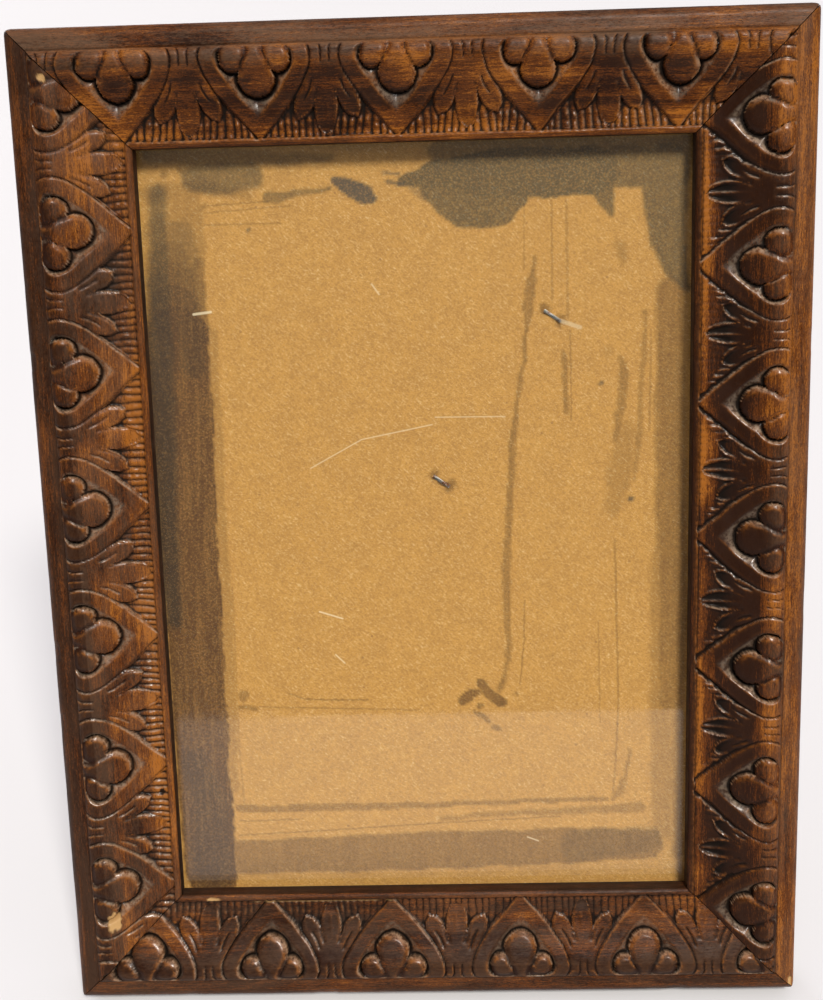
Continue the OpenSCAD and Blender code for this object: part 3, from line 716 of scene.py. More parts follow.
def board_material(looks):
    """Golden fibreboard with brown and grey water marks, a painted shadow of the lip along its top
    edge, and a brown back.
    """
    material, net = start_material("fibreboard")
    middle = (BOARD_LOW + BOARD_HIGH) / 2
    place = net.vector("SUBTRACT", plane_place(net), tuple(middle))
    fibre = net.group(pressed_fibre(), Place=place, Colour=looks.board, Dark=looks.board_dark,
                      Fibre=looks.board_fibre)
    drift = net.add("ShaderNodeTexNoise", {"Vector": place, "Scale": 0.9, "Detail": 3.0})
    drift = net.vector("SUBTRACT", drift.outputs["Color"], (0.5, 0.5, 0.5))
    drifting = net.vector("ADD", place, net.vector("SCALE", drift, scale=0.7))
    drifting = net.drawn_out(drifting, 1, 1, 0)
    streaks = net.noise(net.drawn_out(place, 1, 0.08), 0.8, 4.0, 0.65)
    uneven = net.spread(streaks, 0.3, 0.62, 0.82, 1.0)
    ragged = net.spread(net.noise(place, 2.4, 3.0, 0.7), 0.3, 0.6, 0.75, 1.08)
    brown = net.math("MAXIMUM", net.named("brown"), drawn_marks(net, drifting, BROWN_LINES))
    brown = net.times(net.times(brown, uneven), ragged, clamp=True)
    grey = net.times(net.named("grey"), ragged, clamp=True)
    ink = net.times(net.named("ink"), ragged, clamp=True)
    pale = drawn_marks(net, net.drawn_out(place, 1, 1, 0), PALE_FIBRES)
    colour = net.mix(brown, fibre["Colour"], looks.brown_stain, "MULTIPLY")
    colour = net.mix(grey, colour, looks.grey_stain_and_shadow, "MULTIPLY")
    colour = net.mix(ink, colour, looks.ink)
    colour = net.mix(pale, colour, looks.pale_fibre)
    back = net.group(pressed_fibre(), Place=place, Colour=looks.board_back,
                     Dark=looks.walnut_dark, Fibre=looks.board_dark)
    parts = net.add("ShaderNodeSeparateXYZ", {0: place}).outputs
    screen = net.times(*[net.math("SINE", net.times(parts[way], SCREEN_WAVES)) for way in "XY"])
    front = net.spread(parts["Z"], 0.0, 0.8)
    behind = net.math("SUBTRACT", 1.0, front)
    dents = net.spread(screen, -0.1, 0.9, 0.0, 0.45)
    colour = net.mix(front, net.mix(dents, back["Colour"], looks.walnut_dark), colour)
    height = net.math("SUBTRACT", fibre["Height"], net.times(screen, behind))
    finish_surface(net, colour, 0.8, height, bump=0.5, depth=0.08)
    return material


def glass_material():
    """Window glass, a little dusty. It lets lamps through to the board."""
    material, net = start_material("picture_glass")
    place = plane_place(net)
    smears = net.noise(net.drawn_out(place, 1, 0.5), 0.05, 4.0, 0.6)
    shader = net.add("ShaderNodeBsdfPrincipled", {
        "Base Color": (0.97, 0.99, 0.97), "Roughness": net.spread(smears, 0.35, 0.7, 0.0, 0.06),
        "IOR": 1.4, "Specular IOR Level": 0.09, "Transmission Weight": 1.0})
    clear = net.add("ShaderNodeBsdfTransparent", {"Color": (0.95, 0.97, 0.95)})
    rays = net.add("ShaderNodeLightPath").outputs
    lamp = net.math("MAXIMUM", rays["Is Shadow Ray"], rays["Is Diffuse Ray"])
    both = net.add("ShaderNodeMixShader", {0: lamp, 1: shader, 2: clear})
    output = net.add("ShaderNodeOutputMaterial")
    net.feed(output.inputs["Surface"], both)
    return material


def metal_material(name, colour, film, amount, sunk=None):
    """Old metal: brass with tarnish or steel with rust. What stands in the board is partly of
    the sunk colour."""
    material, net = start_material(name)
    place = own_place(net)
    filmed = net.group(metal_film(), Place=place, Colour=colour, Film=film, Amount=amount)
    marks = net.group(fine_marks(), Place=place, Scratches=0.7)
    colour = filmed["Colour"]
    if sunk is not None:
        above = net.add("ShaderNodeSeparateXYZ", {0: plane_place(net)}).outputs["Z"]
        dull = net.spread(above, BOARD_LOW[2] + 0.2, BOARD_LOW[2] + 0.7, 0.0, 0.3)
        colour = net.mix(dull, colour, sunk)
    finish_surface(net, colour, filmed["Roughness"], marks["Height"], bump=0.35,
                   depth=0.03, Metallic=1.0)
    return material


def leg_material(looks):
    """Brown hardboard, rubbed and scratched."""
    material, net = start_material("leg_board")
    place = own_place(net)
    fibre = net.group(pressed_fibre(), Place=place, Colour=looks.leg, Dark=looks.walnut_dark,
                      Fibre=looks.board_back)
    marks = net.group(fine_marks(), Place=place, Scratches=0.6)
    rubbed = net.spread(net.noise(place, 0.12, 4.0, 0.65), 0.48, 0.66, 0.0, 0.55)
    rubbed = net.math("MAXIMUM", rubbed, net.times(marks["Scratches"], 0.6))
    colour = net.mix(rubbed, fibre["Colour"], looks.board_back)
    height = net.math("ADD", fibre["Height"], marks["Height"])
    finish_surface(net, colour, net.spread(marks["Smears"], 0.3, 0.7, 0.45, 0.7),
                   height, bump=0.4, depth=0.06)
    return material


# Numbers that only look random. The large factors mix the bits of a place, and each use of
# ripple on a stick has a seed of its own, which is the stick's plus a number.


def chance_at(column, row, seed):
    """A fixed number from 0 to 1 for each whole-number place."""
    mixed = (column * 374761393 + row * 668265263 + seed * 144269504) & 0x7FFFFFFF
    mixed = ((mixed ^ (mixed >> 13)) * 1274126177) & 0x7FFFFFFF
    return ((mixed ^ (mixed >> 16)) & 0xFFFF) / 65535.0


def ease(value):
    """Smooth step of a value from 0 to 1."""
    value = np.clip(value, 0, 1)
    return value * value * (3 - 2 * value)


def ripple(x, y, seed):
    """Smooth noise from -1 to 1, about one unit from crest to hollow."""
    column, row = np.floor(x).astype(np.int64), np.floor(y).astype(np.int64)
    across, up = ease(x - column), ease(y - row)
    low = chance_at(column, row, seed) * (1 - across) + chance_at(column + 1, row, seed) * across
    high = (chance_at(column, row + 1, seed) * (1 - across)
            + chance_at(column + 1, row + 1, seed) * across)
    return 2 * (low * (1 - up) + high * up) - 1


def softened(field, width, step):
    """The field blurred over that width both ways, where its points are a step apart."""
    count = width / step
    reach = max(1, int(round(2.5 * count)))
    weights = np.exp(-0.5 * (np.arange(-reach, reach + 1) / count) ** 2)
    weights /= weights.sum()
    for axis in (0, 1):
        pad = [(0, 0), (0, 0)]
        pad[axis] = (reach, reach)
        wide = np.pad(field, pad, mode="edge")
        field = np.apply_along_axis(lambda line: np.convolve(line, weights, "valid"), axis, wide)
    return field


# The moulding and its carving


def curve(a, b, c, d, count=60):
    """Points of a curve from a to d that is drawn towards b and c."""
    t = np.linspace(0, 1, count)[:, None]
    a, b, c, d = (np.array(p) for p in (a, b, c, d))
    return (1 - t) ** 3 * a + 3 * t * (1 - t) ** 2 * b + 3 * t * t * (1 - t) * c + t ** 3 * d


# How wide the strip's outer slope is, and the radius of its edge.
STRIP_SLOPE, EDGE_R = 2.2, 0.5

# Half of a leaf and half of the fan beside it. A place is its distance from the middle of
# the leaf or fan and from the sight edge, and each HALF is half a width at the places AT.
BAND_EDGE = curve((9.9, 20.6), (15.2, 15.0), (5.8, 8.0), (0.6, 1.2))
HOLLOW_EDGE = curve((5.7, 19.5), (12.7, 17.6), (3.5, 9.6), (0.0, 5.2))
BULB_AT, BULB_R = 13.2, 3.7
NECK_AT, NECK_HALF = (13.2, 15.6, 17.0, 18.3, 20.5), (3.7, 3.0, 2.05, 1.6, 1.75)
LOBE_OUT, LOBE_AT, LOBE_R, LOBE_IN = 4.75, 16.6, 2.5, 3.25
TONGUE_AT, TONGUE_HALF = (2.4, 3.0, 4.2, 6.4, 8.2, 11.0), (0.0, 1.0, 1.6, 2.1, 2.15, 1.8)
SIDE_ROOT, SIDE_TIP = (3.3, 11.4), (6.1, 5.5)
SIDE_AT, SIDE_HALF = (0.0, 0.3, 0.6, 0.85, 1.0), (1.5, 1.8, 1.75, 1.15, 0.0)
PARTING = 10.9
SLIT_AT, SLIT_OUT = (8.8, 11.0, 13.0), (4.7, 3.35, 2.7)

# From where to where the cuts run, as distances from the sight edge.
BAND_FROM, BAND_TO, STEP_TO = 1.2, 20.6, 18
HOLLOW_FROM, HOLLOW_TO = 5, 19.5
NECK_FROM, NECK_TO = 14.2, 20.3
SHORT_FROM, SHORT_TO = 15.4, 20.3
GROUND_TO = 12.5

# Depth of the ground between the leaves, and heights of the reeds and of the rough nicks
# that stand on it, at those distances from the sight edge.
GROUND_AT, GROUND_DEEP = (1.3, 3.0, 6.0, 11.0), (0.50, 0.80, 1.05, 1.25)
REED_AT, REED_HIGH = (1.3, 1.8, 4.4, 5.6, 7.5, 10), (0.45, 0.62, 0.72, 0.45, 0.25, 0.1)
NICK_AT, NICK_HIGH = (2.5, 4.0, 8.5, 10.5), (0.0, 0.55, 0.55, 0.0)

# How deep the other cuts are.
DEEP = SimpleNamespace(
    pillow=0.42, head=0.12, beside_neck=0.45, neck=0.56, band=0.62, step=0.20, slit=0.48,
    short=0.42, rib=0.10, tongue_edge=0.28, dip=0.55, sunk=0.95, beads=0.3, joint=0.05)
BEAD_STEP = 1.05


def section(n, sizes):
    """Height of the uncarved moulding over its back. n is the distance from the sight edge."""
    flat = sizes.shoulder + sizes.lip_depth
    top = flat + sizes.crest
    outer_face = RAIL_W - n
    rise = curve((sizes.fillet, flat - 0.45), (10.0, flat + 0.1), (sizes.crest_at - 2.9, top),
                 (sizes.crest_at, top))
    fall = curve((sizes.crest_at, top), (sizes.crest_at + 1.5, top),
                 (sizes.face - 0.1, top - 0.5), (sizes.face, flat + sizes.strip_lift - 0.1))
    carved = np.interp(n, *np.concatenate((rise, fall[1:])).T)
    fillet = flat - 0.55 * np.clip(1 - n / 0.9, 0, 1) ** 1.8
    level = fillet + (carved - fillet) * ease((n - sizes.fillet + 0.15) / 0.3)
    drop = sizes.strip_fall * np.clip(1 - outer_face / STRIP_SLOPE, 0, 1) ** 2.2
    strip = flat + sizes.strip_lift - 0.15 * ease((n - sizes.face) / 3) - drop
    past_edge = np.clip(EDGE_R - outer_face, 0, EDGE_R)
    round_off = EDGE_R - np.sqrt(np.clip(EDGE_R ** 2 - past_edge ** 2, 0, None))
    return np.where(n > sizes.face, strip - round_off, level)


def front_rows(sizes):
    """Places across the moulding, evenly spaced over its curves."""
    n = np.linspace(0, RAIL_W, 4000)
    slope = np.abs(np.gradient(section(n, sizes), n))
    density = np.sqrt(1 + np.clip(slope, 0, 3) ** 2)
    length = np.concatenate(([0], np.cumsum((density[1:] + density[:-1]) / 2 * np.diff(n))))
    count = int(length[-1] / sizes.mesh_step)
    return np.interp(np.linspace(0, length[-1], count), length, n)


def leaf_at(x, places):
    """For each x: its offset from the nearest leaf's middle, its offset from the middle of
    the fan between leaves, and the numbers of that leaf and that fan."""
    places = np.array(places)
    before = (places[0] - 2 * LEAF, places[0] - LEAF)
    after = (places[-1] + LEAF, places[-1] + 2 * LEAF)
    places = np.concatenate((before, places, after))
    fan = np.clip(np.searchsorted(places, x) - 1, 0, len(places) - 2)
    part = (x - places[fan]) / (places[fan + 1] - places[fan]) * LEAF
    near_next = part > LEAF / 2
    return np.where(near_next, part - LEAF, part), part - LEAF / 2, fan + near_next, fan


def inside(edge, half, n):
    """How far a point at half from the middle lies within a leaf's edge."""
    edge = edge[::-1]
    slope = np.gradient(edge[:, 0], edge[:, 1])
    width = np.interp(n, edge[:, 1], edge[:, 0])
    steep = np.interp(n, edge[:, 1], slope)
    return (width - half) / np.sqrt(1 + steep ** 2)


def cut(distance, half_width):
    """A sharp groove: 1 on its line, and 0 beyond half its width."""
    return np.clip(1 - np.abs(distance) / half_width, 0, 1)


def in_bulb(off, n):
    """How far a point lies within a trefoil's round head or its neck."""
    head = BULB_R - np.hypot(off, n - BULB_AT)
    neck = (np.interp(n, NECK_AT, NECK_HALF) - np.abs(off)) * 0.9
    return np.where(n > BULB_AT, neck, head)


def in_lobe(half, n, close, beside_neck):
    """How far a point lies within a trefoil's side lobe, which closes that far up the roll."""
    out = np.abs(half - LOBE_OUT) / np.where(beside_neck, LOBE_IN, LOBE_R)
    up = np.abs(n - LOBE_AT) / np.where(n > LOBE_AT, close, LOBE_R)
    power = np.where(beside_neck, 4.0, 2.0)
    return LOBE_R * (1 - (out ** power + up ** power) ** (1 / power))


def leaf_cuts(x, here, off, vary, stick, sizes):
    """The cuts of the leaves: how far a point lies within a leaf's band, the depth of the
    pocket round its trefoil, and the depth of all the cuts together."""
    n = here + 0.28 * vary[..., 0]
    skewed = off - 0.35 * vary[..., 1]
    half = np.abs(off) / (1 + 0.035 * vary[..., 2])
    bold = 1 + 0.18 * vary[..., 3]
    band = inside(BAND_EDGE, half, n)
    hollow = inside(HOLLOW_EDGE, half, n)
    hollow = np.where((n > HOLLOW_TO) | (n < HOLLOW_FROM), -1, hollow)
    beside_neck = (half < LOBE_OUT) & (n > LOBE_AT)
    bulb = in_bulb(skewed, n)
    lobe = in_lobe(half, n, stick.tone.close, beside_neck)
    trefoil = np.maximum(bulb, lobe)

    gap = hollow + np.maximum(-trefoil, 0)
    slope = np.clip(hollow / (gap + 1e-6), 0, 1) ** 1.3
    pocket = sizes.hollow * bold * slope * np.clip(gap / 0.9, 0, 1)
    pocket = np.where((hollow > 0) & (trefoil < 0), pocket, 0)
    pocket = np.where(beside_neck, np.minimum(pocket, DEEP.beside_neck), pocket)
    pillow = np.where((hollow > 0) & (trefoil >= 0), DEEP.pillow * (1 - ease(trefoil / 1.2)), 0)
    pillow = pillow + np.where((bulb > 0) & (n < 16), DEEP.head * (1 - ease(bulb / 2.5)), 0)
    on_neck = (n > NECK_FROM) * (n < NECK_TO) * (lobe > -0.5)
    neck = DEEP.neck * cut(bulb, sizes.line * 0.95) * on_neck

    low_part = stick.tone.sunk * ease((12 - n) / 3)
    rough = low_part * (1.3 + 0.9 * ripple(x / 0.9, here / 0.8, stick.seed + 7))
    edge = cut(band + 0.25 * rough, sizes.line * (1 + rough))
    edge = (DEEP.band + 0.3 * low_part) * bold * edge
    edge = edge * ease((BAND_TO - n) / 0.7) * (n > BAND_FROM)
    step = np.where(band < 0, (DEEP.step + 0.55 * low_part) * np.exp(band / 0.8), 0)
    step = step * (n < STEP_TO)
    return band, pocket, np.maximum.reduce([pocket, pillow, neck, edge, step])


def in_tongues(off, n, skew):
    """How far a point lies within a fan's middle tongue, and within an outer one."""
    side = np.abs(off)
    middle = np.interp(n, TONGUE_AT, TONGUE_HALF) - np.abs(off - 0.25 * skew)
    middle = np.where(n < TONGUE_AT[0], n - TONGUE_AT[0] - side, middle)
    lean = np.subtract(SIDE_TIP, SIDE_ROOT)
    reach = np.hypot(*lean)
    lean = lean / reach
    along = ((side - SIDE_ROOT[0]) * lean[0] + (n - SIDE_ROOT[1]) * lean[1]) / reach
    across = (side - SIDE_ROOT[0]) * lean[1] - (n - SIDE_ROOT[1]) * lean[0]
    outer = np.interp(along, SIDE_AT, SIDE_HALF) - np.abs(across)
    outer = np.where(along > 1, -np.hypot((along - 1) * reach, across), outer)
    return middle, outer


def ground_cuts(x, n, here, band, tongues, stick, sizes):
    """Depth of the ground between leaves and tongues, less its reeds and nicks, and how dark
    the gaps in it are painted, with grime and painted shade."""
    tone, seed = stick.tone, stick.seed
    ground = np.minimum(-tongues, -band)
    low = ease(ground / 0.45) * (here < GROUND_TO) * ease((here - sizes.fillet + 0.1) / 0.25)
    phase = x + 0.45 * ripple(x / 3.3, here / 9, seed + 4)
    ridge = np.abs(np.cos(np.pi * phase / sizes.reed)) ** 0.8
    lumps = 0.78 + 0.32 * ripple(phase / sizes.reed + 0.5, here / 0.8, seed + 5)
    nicks = tone.sunk * np.interp(here, NICK_AT, NICK_HIGH)
    nicks = nicks * ease((band + 2.6 + 0.8 * ripple(x / 1.3, n, seed + 17)) / 0.8)
    stand = np.maximum(np.interp(here, REED_AT, REED_HIGH) * tone.reeds, nicks)
    floor = np.interp(here, GROUND_AT, GROUND_DEEP)
    floor = np.maximum(floor * (0.5 + 0.5 * tone.reeds), 1.1 * nicks)
    gaps = low * (1 - ridge) * np.clip(2 * (tone.reeds + nicks), 0, 1)
    # Dark corners of the ground beside the tongues: grime and painted shade.
    corners = low * (1 - ease(ground / 0.9)) * ease((here - 4.5) / 2)
    depth = low * (floor - stand * ridge * lumps * ease(ground / 0.7))
    return depth, np.maximum(gaps, 1.5 * corners)


def fan_cuts(here, off, middle, outer, tongues, band, stick, sizes):
    """Depth of the cuts on a fan, and how far its tongues are sunk."""
    side = np.abs(off)
    slit = DEEP.slit * cut((side - np.interp(here, SLIT_AT, SLIT_OUT)) * 0.75, sizes.line * 1.1)
    slit = slit * ease((here - 8.4) / 0.8) * ease((13.3 - here) / 1.2)
    short_out = 0.85 + 0.5 * ease((here - 18) / 2)
    short = DEEP.short * cut(side - short_out, sizes.line * 0.9)
    short = short * ease((here - SHORT_FROM) / 0.6) * (here < SHORT_TO)
    rib = np.where(middle > 0, DEEP.rib * np.clip(side / 1.5, 0, 1), 0) * (here < 10)
    on_tongue = tongues >= 0
    edge = np.where(on_tongue & (here < 12), DEEP.tongue_edge * (1 - ease(tongues / 0.7)), 0)
    dip = np.where(band < 0.2, DEEP.dip * ease((7.0 - here) / 4.5) * on_tongue, 0)
    depth = np.maximum.reduce([np.maximum(slit, short) + rib, edge, dip])
    sunk = stick.tone.sunk * ease(np.maximum(middle, outer) / 0.7) * ease((11.5 - here) / 6)
    sunk = sunk * ease((here - 1.8) / 0.8) * (1 - 0.55 * cut(off - 0.2, 0.55))
    return np.maximum(np.where(band < 0.1, depth, 0), DEEP.sunk * sunk), sunk


def carve(x, n, stick, sizes):
    """Depth of the carving below the moulding, how much of it is dark gaps, painted with grime
    and painted shade, and how much is the pocket round a trefoil. vary holds numbers of each
    leaf's and fan's own: the first four change a leaf and the next two a fan."""
    seed = stick.seed
    wander = 0.20 * ripple(x / 7, n / 5, seed) + 0.07 * ripple(x / 1.9, n / 1.7, seed + 1)
    sway = 0.20 * ripple(x / 6, n / 7, seed + 2) + 0.07 * ripple(x / 1.8, n / 2.1, seed + 3)
    x = x + wander
    here = n + sway
    leaf_off, fan_off, leaf, fan = leaf_at(x, stick.places)
    vary = np.random.default_rng(seed).uniform(-1, 1, (len(stick.places) + 5, 8))
    band, pocket, leaf_depth = leaf_cuts(x, here, leaf_off, vary[leaf], stick, sizes)
    n_fan = here + 0.35 * vary[fan, 4]
    middle, outer = in_tongues(fan_off, n_fan, vary[fan, 5])
    tongues = np.maximum(np.maximum(middle, outer), n_fan - PARTING)
    low, gaps = ground_cuts(x, n, here, band, tongues, stick, sizes)
    fan_depth, sunk = fan_cuts(here, fan_off, middle, outer, tongues, band, stick, sizes)
    beads = 0.7 + 0.3 * np.cos(2 * np.pi * x / BEAD_STEP)
    beads = beads * (0.8 + 0.2 * ripple(x / 2.2, n, seed + 6))
    beads = DEEP.beads * cut(n - sizes.fillet - 0.08, 0.26) * beads
    joint = DEEP.joint * cut(n - sizes.face - 0.05, 0.28)
    depth = np.maximum.reduce([leaf_depth, low, fan_depth, beads])
    depth = np.maximum(depth * ease((sizes.face - 0.1 - n) / 0.8), joint)
    depth = np.where(n < sizes.fillet - 0.2, 0, depth)
    in_pocket = ease(pocket / 0.5) * (1 - ease((pocket - 0.9) / 0.8))
    # The sunk tongues count as dark gaps too: grime and painted shade.
    return SimpleNamespace(depth=depth, gaps=np.maximum(gaps, 2.1 * sunk), pocket=in_pocket)


def grid_mesh(name, points, fields):
    """A closed stick from rows of points round its section: points[row, column], in metres.
    The ends are capped, and each field is kept as a point attribute."""
    rows, columns = points.shape[:2]
    mesh = bpy.data.meshes.new(name)
    row, column = np.meshgrid(np.arange(rows), np.arange(columns - 1), indexing="ij")
    following = (row + 1) % rows
    quads = np.stack((
        row * columns + column, row * columns + column + 1,
        following * columns + column + 1, following * columns + column), axis=-1).reshape(-1, 4)
    first = np.arange(rows)[::-1] * columns
    last = np.arange(rows) * columns + columns - 1
    loops = np.concatenate((quads.ravel(), first, last))
    sizes = np.concatenate((np.full(len(quads), 4), [rows, rows]))
    starts = np.concatenate(([0], np.cumsum(sizes)[:-1]))
    mesh.vertices.add(rows * columns)
    mesh.vertices.foreach_set("co", points.ravel())
    mesh.loops.add(len(loops))
    mesh.loops.foreach_set("vertex_index", loops)
    mesh.polygons.add(len(sizes))
    mesh.polygons.foreach_set("loop_start", starts)
    mesh.update(calc_edges=True)
    for label, field in fields.items():
        kind = "FLOAT_VECTOR" if field.ndim == 3 else "FLOAT"
        layer = mesh.attributes.new(label, kind, "POINT")
        layer.data.foreach_set("vector" if field.ndim == 3 else "value",
                               field.astype(np.float32).ravel())
    mesh.validate()
    return mesh


def add_piece(context, mesh, body, slot, *nodes):
    """Shows a mesh as a piece that moves with a body and stands for those nodes."""
    piece = bpy.data.objects.new(mesh.name, mesh)
    context.scene.collection.objects.link(piece)
    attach(piece, body)
    if nodes:
        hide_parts(*nodes)
    return piece


def stick_to_plane(side):
    """From a stick's own directions, which are along it, out from the sight edge and up from
    the back, to the frame's plane."""
    reach = SIGHT_H / 2 if side % 2 == 0 else SIGHT_W / 2
    turn = Matrix.Rotation(math.radians(90 * side), 4, "Z")
    middle = Matrix.Translation((0, FRAME_H / 2, 0))
    return middle @ turn @ Matrix.Translation((0, reach, 0))


def slope_to_light(depth, x, n, side):
    """How steeply the cuts fall away from the light's side, so that they face it."""
    along = np.gradient(depth, axis=1) / np.maximum(np.gradient(x, axis=1), 1e-6)
    across = np.gradient(depth, axis=0) / np.maximum(np.gradient(n, axis=0), 1e-6)
    turned = Matrix.Rotation(math.radians(-90 * side), 2) @ Vector(LIGHT)
    return along * turned[0] + across * turned[1]


def round_corner(x, n, length_out, radius):
    """Points of a stick with the frame's outer corners rounded off."""
    from_side = RAIL_W - n
    from_end = length_out - np.abs(x)
    near = (from_side < radius) & (from_end < radius)
    away = np.hypot(radius - from_side, radius - from_end)
    pull = np.where(near & (away > radius), radius / np.maximum(away, 1e-6), 1)
    n = np.where(near, RAIL_W - radius + (radius - from_side) * pull, n)
    x = np.where(near, np.sign(x) * (length_out - radius + (radius - from_end) * pull), x)
    return x, n


# How far apart the sticks lie in their grain, so that no two have the same, and from what
# turn an edge of a stick is shaded as sharp.
GRAIN_APART = 300
STICK_SHARP_DEGREES = 65

# How much waxing there is, with its painted sheen, and where the stain changes, at distances from
# the sight edge.
WAX_AND_SHEEN_AT, WAX_AND_SHEEN = (14.8, 17.0, 18.8, 19.6, 20.2, 24.4), (0.1, 0.7, 0.9, 1.1, 1.0, 0.7)
STAIN_AT = (2.5, 6.0, 12.5, 16.5)


def worn_level(level, x, n, stick):
    """The carved surface with tool marks, dents and flaws, and its chips and dark spots."""
    seed = stick.seed
    tool = 0.03 * ripple(x / 4.5, n / 2.2, seed + 8) + 0.015 * ripple(x / 1.1, n / 0.9, seed + 9)
    dents = 0.22 * ease((ripple(x / 8, n / 6, seed + 10) - 0.55) / 0.3)
    level = level + (tool - 0.045) - np.where(n > RAIL_W - 1.5, dents, 0)
    chip = np.zeros_like(n)
    spot = np.zeros_like(n)
    for flaw_x, flaw_n, long_way, cross_way, pale in FLAWS[stick.name]:
        away = np.hypot((x - flaw_x) / long_way, (n - flaw_n) / cross_way)
        away = away + 0.25 * ripple(x / 0.8, n / 0.6, seed + 12)
        mark = ease((1.1 - away) / 0.25)
        level = level - mark * (0.35 if pale else 0.1)
        chip = np.maximum(chip, mark * pale)
        spot = np.maximum(spot, mark * (1 - pale))
    return level, chip, spot


def stain_field(x, n, stick, sizes):
    """How dark the stain is at each point of the front."""
    tone, seed = stick.tone, stick.seed
    stain = np.interp(
        n, STAIN_AT, (tone.face + tone.ground, tone.face, tone.face, tone.roll))
    stain = stain + 0.8 * ripple(x / 14, n / 9, seed + 14) + 0.45 * ripple(x / 5, n / 4, seed + 15)
    strip = tone.strip + 0.3 * ripple(x / 20, n / 3, seed + 16)
    stain = np.where(n > sizes.face, strip, stain)
    fillet = 1 - ease((n - sizes.fillet + 0.1) / 0.2)
    return stain * (1 - fillet) + (tone.face - 0.3) * fillet


def front_fields(level, cuts, spot, x, n, stick, sizes):
    """The masks of the finish on the front: grime with painted shade, rubbed edges and cut
    slopes with a painted highlight where they face the light, waxing with a painted sheen,
    and stain.
    """
    tone, step = stick.tone, sizes.mesh_step
    near = softened(level, 0.45, step)
    wide = softened(level, 1.4, step)
    # Grime and painted shade, darkest where the surface lies below its surroundings.
    hollow = ease((near - level - 0.03) / 0.16) + 0.8 * ease((wide - level - 0.15) / 0.55)
    beside_strip = np.exp(-((n - sizes.face) / 0.7) ** 2) * (cuts.depth < 0.1)
    hollow = hollow * (1 - 0.85 * beside_strip)
    hollow = np.clip(0.92 * tone.dirt_and_shade * hollow + 0.35 * cuts.gaps + spot, 0, 0.96)
    # Cut slopes that face the light get a painted highlight, and the pockets pale dust.
    facing = slope_to_light(softened(cuts.depth, 0.12, step), x, n, stick.side)
    slope = ease((facing - 0.25) / 0.6) * (n < sizes.face - 0.3)
    slope = slope * (1 - 0.5 * ease((hollow - 0.6) / 0.3))
    # Waxing, with a painted sheen, most on the roll and the strip.
    film = tone.wax_and_sheen * np.interp(n, WAX_AND_SHEEN_AT, WAX_AND_SHEEN) * (1 - ease(cuts.depth / 0.3))
    return {
        "hollow": hollow,
        # Edges that stand out and face the light: rubbing and a painted highlight.
        "edge": np.clip((level - near) / 0.10, 0, 1) * ease((facing + 0.1) / 0.4),
        "slope": np.maximum(tone.rubbed * slope, tone.dust * cuts.pocket),
        "film": np.maximum(film, tone.face_wax_and_sheen * (n < 16.5)),
        "stain": stain_field(x, n, stick, sizes),
    }


def back_ring(top, outer_top, sizes):
    """The rest of the section, as points across and up: down the outer face, along the back
    and round the rebate, and up the sight edge."""
    outer_drop = (0.15, 0.6, 3.0, 6.0, outer_top - 0.6, outer_top - 0.15)
    lip_drop = (sizes.lip_depth - 0.55, sizes.lip_depth - 0.8, 3.0, 2.0, 1.0, 0.12)
    ring = [(RAIL_W, outer_top - drop) for drop in outer_drop]
    ring += [(RAIL_W - 0.12, 0.0)]
    ring += [(n, 0.0) for n in np.linspace(RAIL_W - 1, sizes.lip + 1, 5)]
    ring += [(sizes.lip + 0.1, 0.0), (sizes.lip, 0.15), (sizes.lip, sizes.shoulder - 0.1),
             (sizes.lip - 0.1, sizes.shoulder), (0.15, sizes.shoulder)]
    ring += [(0.0, top - drop) for drop in lip_drop]
    return np.array(ring)


def make_stick(context, name, sizes):
    """One carved and mitred stick, from a height field over its section."""
    side, places = STICKS[name]
    stick = SimpleNamespace(
        name=name, side=side, places=places, tone=TONES[name], seed=11 + 7 * side)
    sight = SIGHT_W if side % 2 == 0 else SIGHT_H
    columns = int((sight + RAIL_W) / sizes.mesh_step)
    ends = np.linspace(-1, 1, columns)
    n = np.repeat(front_rows(sizes)[:, None], columns, axis=1)
    x = ends * (sight / 2 - sizes.mitre + n)
    cuts = carve(x, n, stick, sizes)
    level, chip, spot = worn_level(section(n, sizes) - cuts.depth, x, n, stick)
    level = softened(level, 0.10, sizes.mesh_step)
    front = front_fields(level, cuts, spot, x, n, stick, sizes)

    ring = back_ring(float(np.min(level[0])), float(np.min(level[-1])), sizes)
    n_ring, up_ring = (np.repeat(ring[:, way, None], columns, axis=1) for way in (0, 1))
    n_all = np.vstack((n, n_ring))
    up_all = np.vstack((level, up_ring))
    opened = 0.1 + 0.9 * ease((up_all - 4) / 4)
    x_all = ends * (sight / 2 - sizes.mitre * opened + n_all)
    hidden = (up_ring < 0.05) | ((n_ring >= sizes.lip - 0.2) & (n_ring < RAIL_W - 0.01))
    # The sight edge's inner wall gets part of the dark cut colour: grime and painted shade.
    ring_values = {"hollow": np.where(n_ring < 0.01, 0.6, 0.0), "film": 0.4, "stain": 0.4,
                   "raw": np.where(hidden, 1.0, 0.0)}
    front.update(raw=np.zeros_like(n), chip=chip)
    fields = {
        label: np.vstack((field, np.zeros_like(n_ring) + ring_values.get(label, 0.0)))
        for label, field in front.items()}
    fields["stick_place"] = np.stack((x_all + GRAIN_APART * side, n_all, up_all), axis=-1)
    x_all, n_all = round_corner(x_all, n_all, sight / 2 + RAIL_W, sizes.corner)
    points = moved(np.stack((x_all, n_all, up_all), axis=-1), stick_to_plane(side))
    mesh = grid_mesh("carved_" + name, moved(points * MM, PLANE), fields)
    mesh.shade_smooth()
    mesh.set_sharp_from_angle(angle=math.radians(STICK_SHARP_DEGREES))
    return add_piece(context, mesh, "frame", "carved_walnut", name)


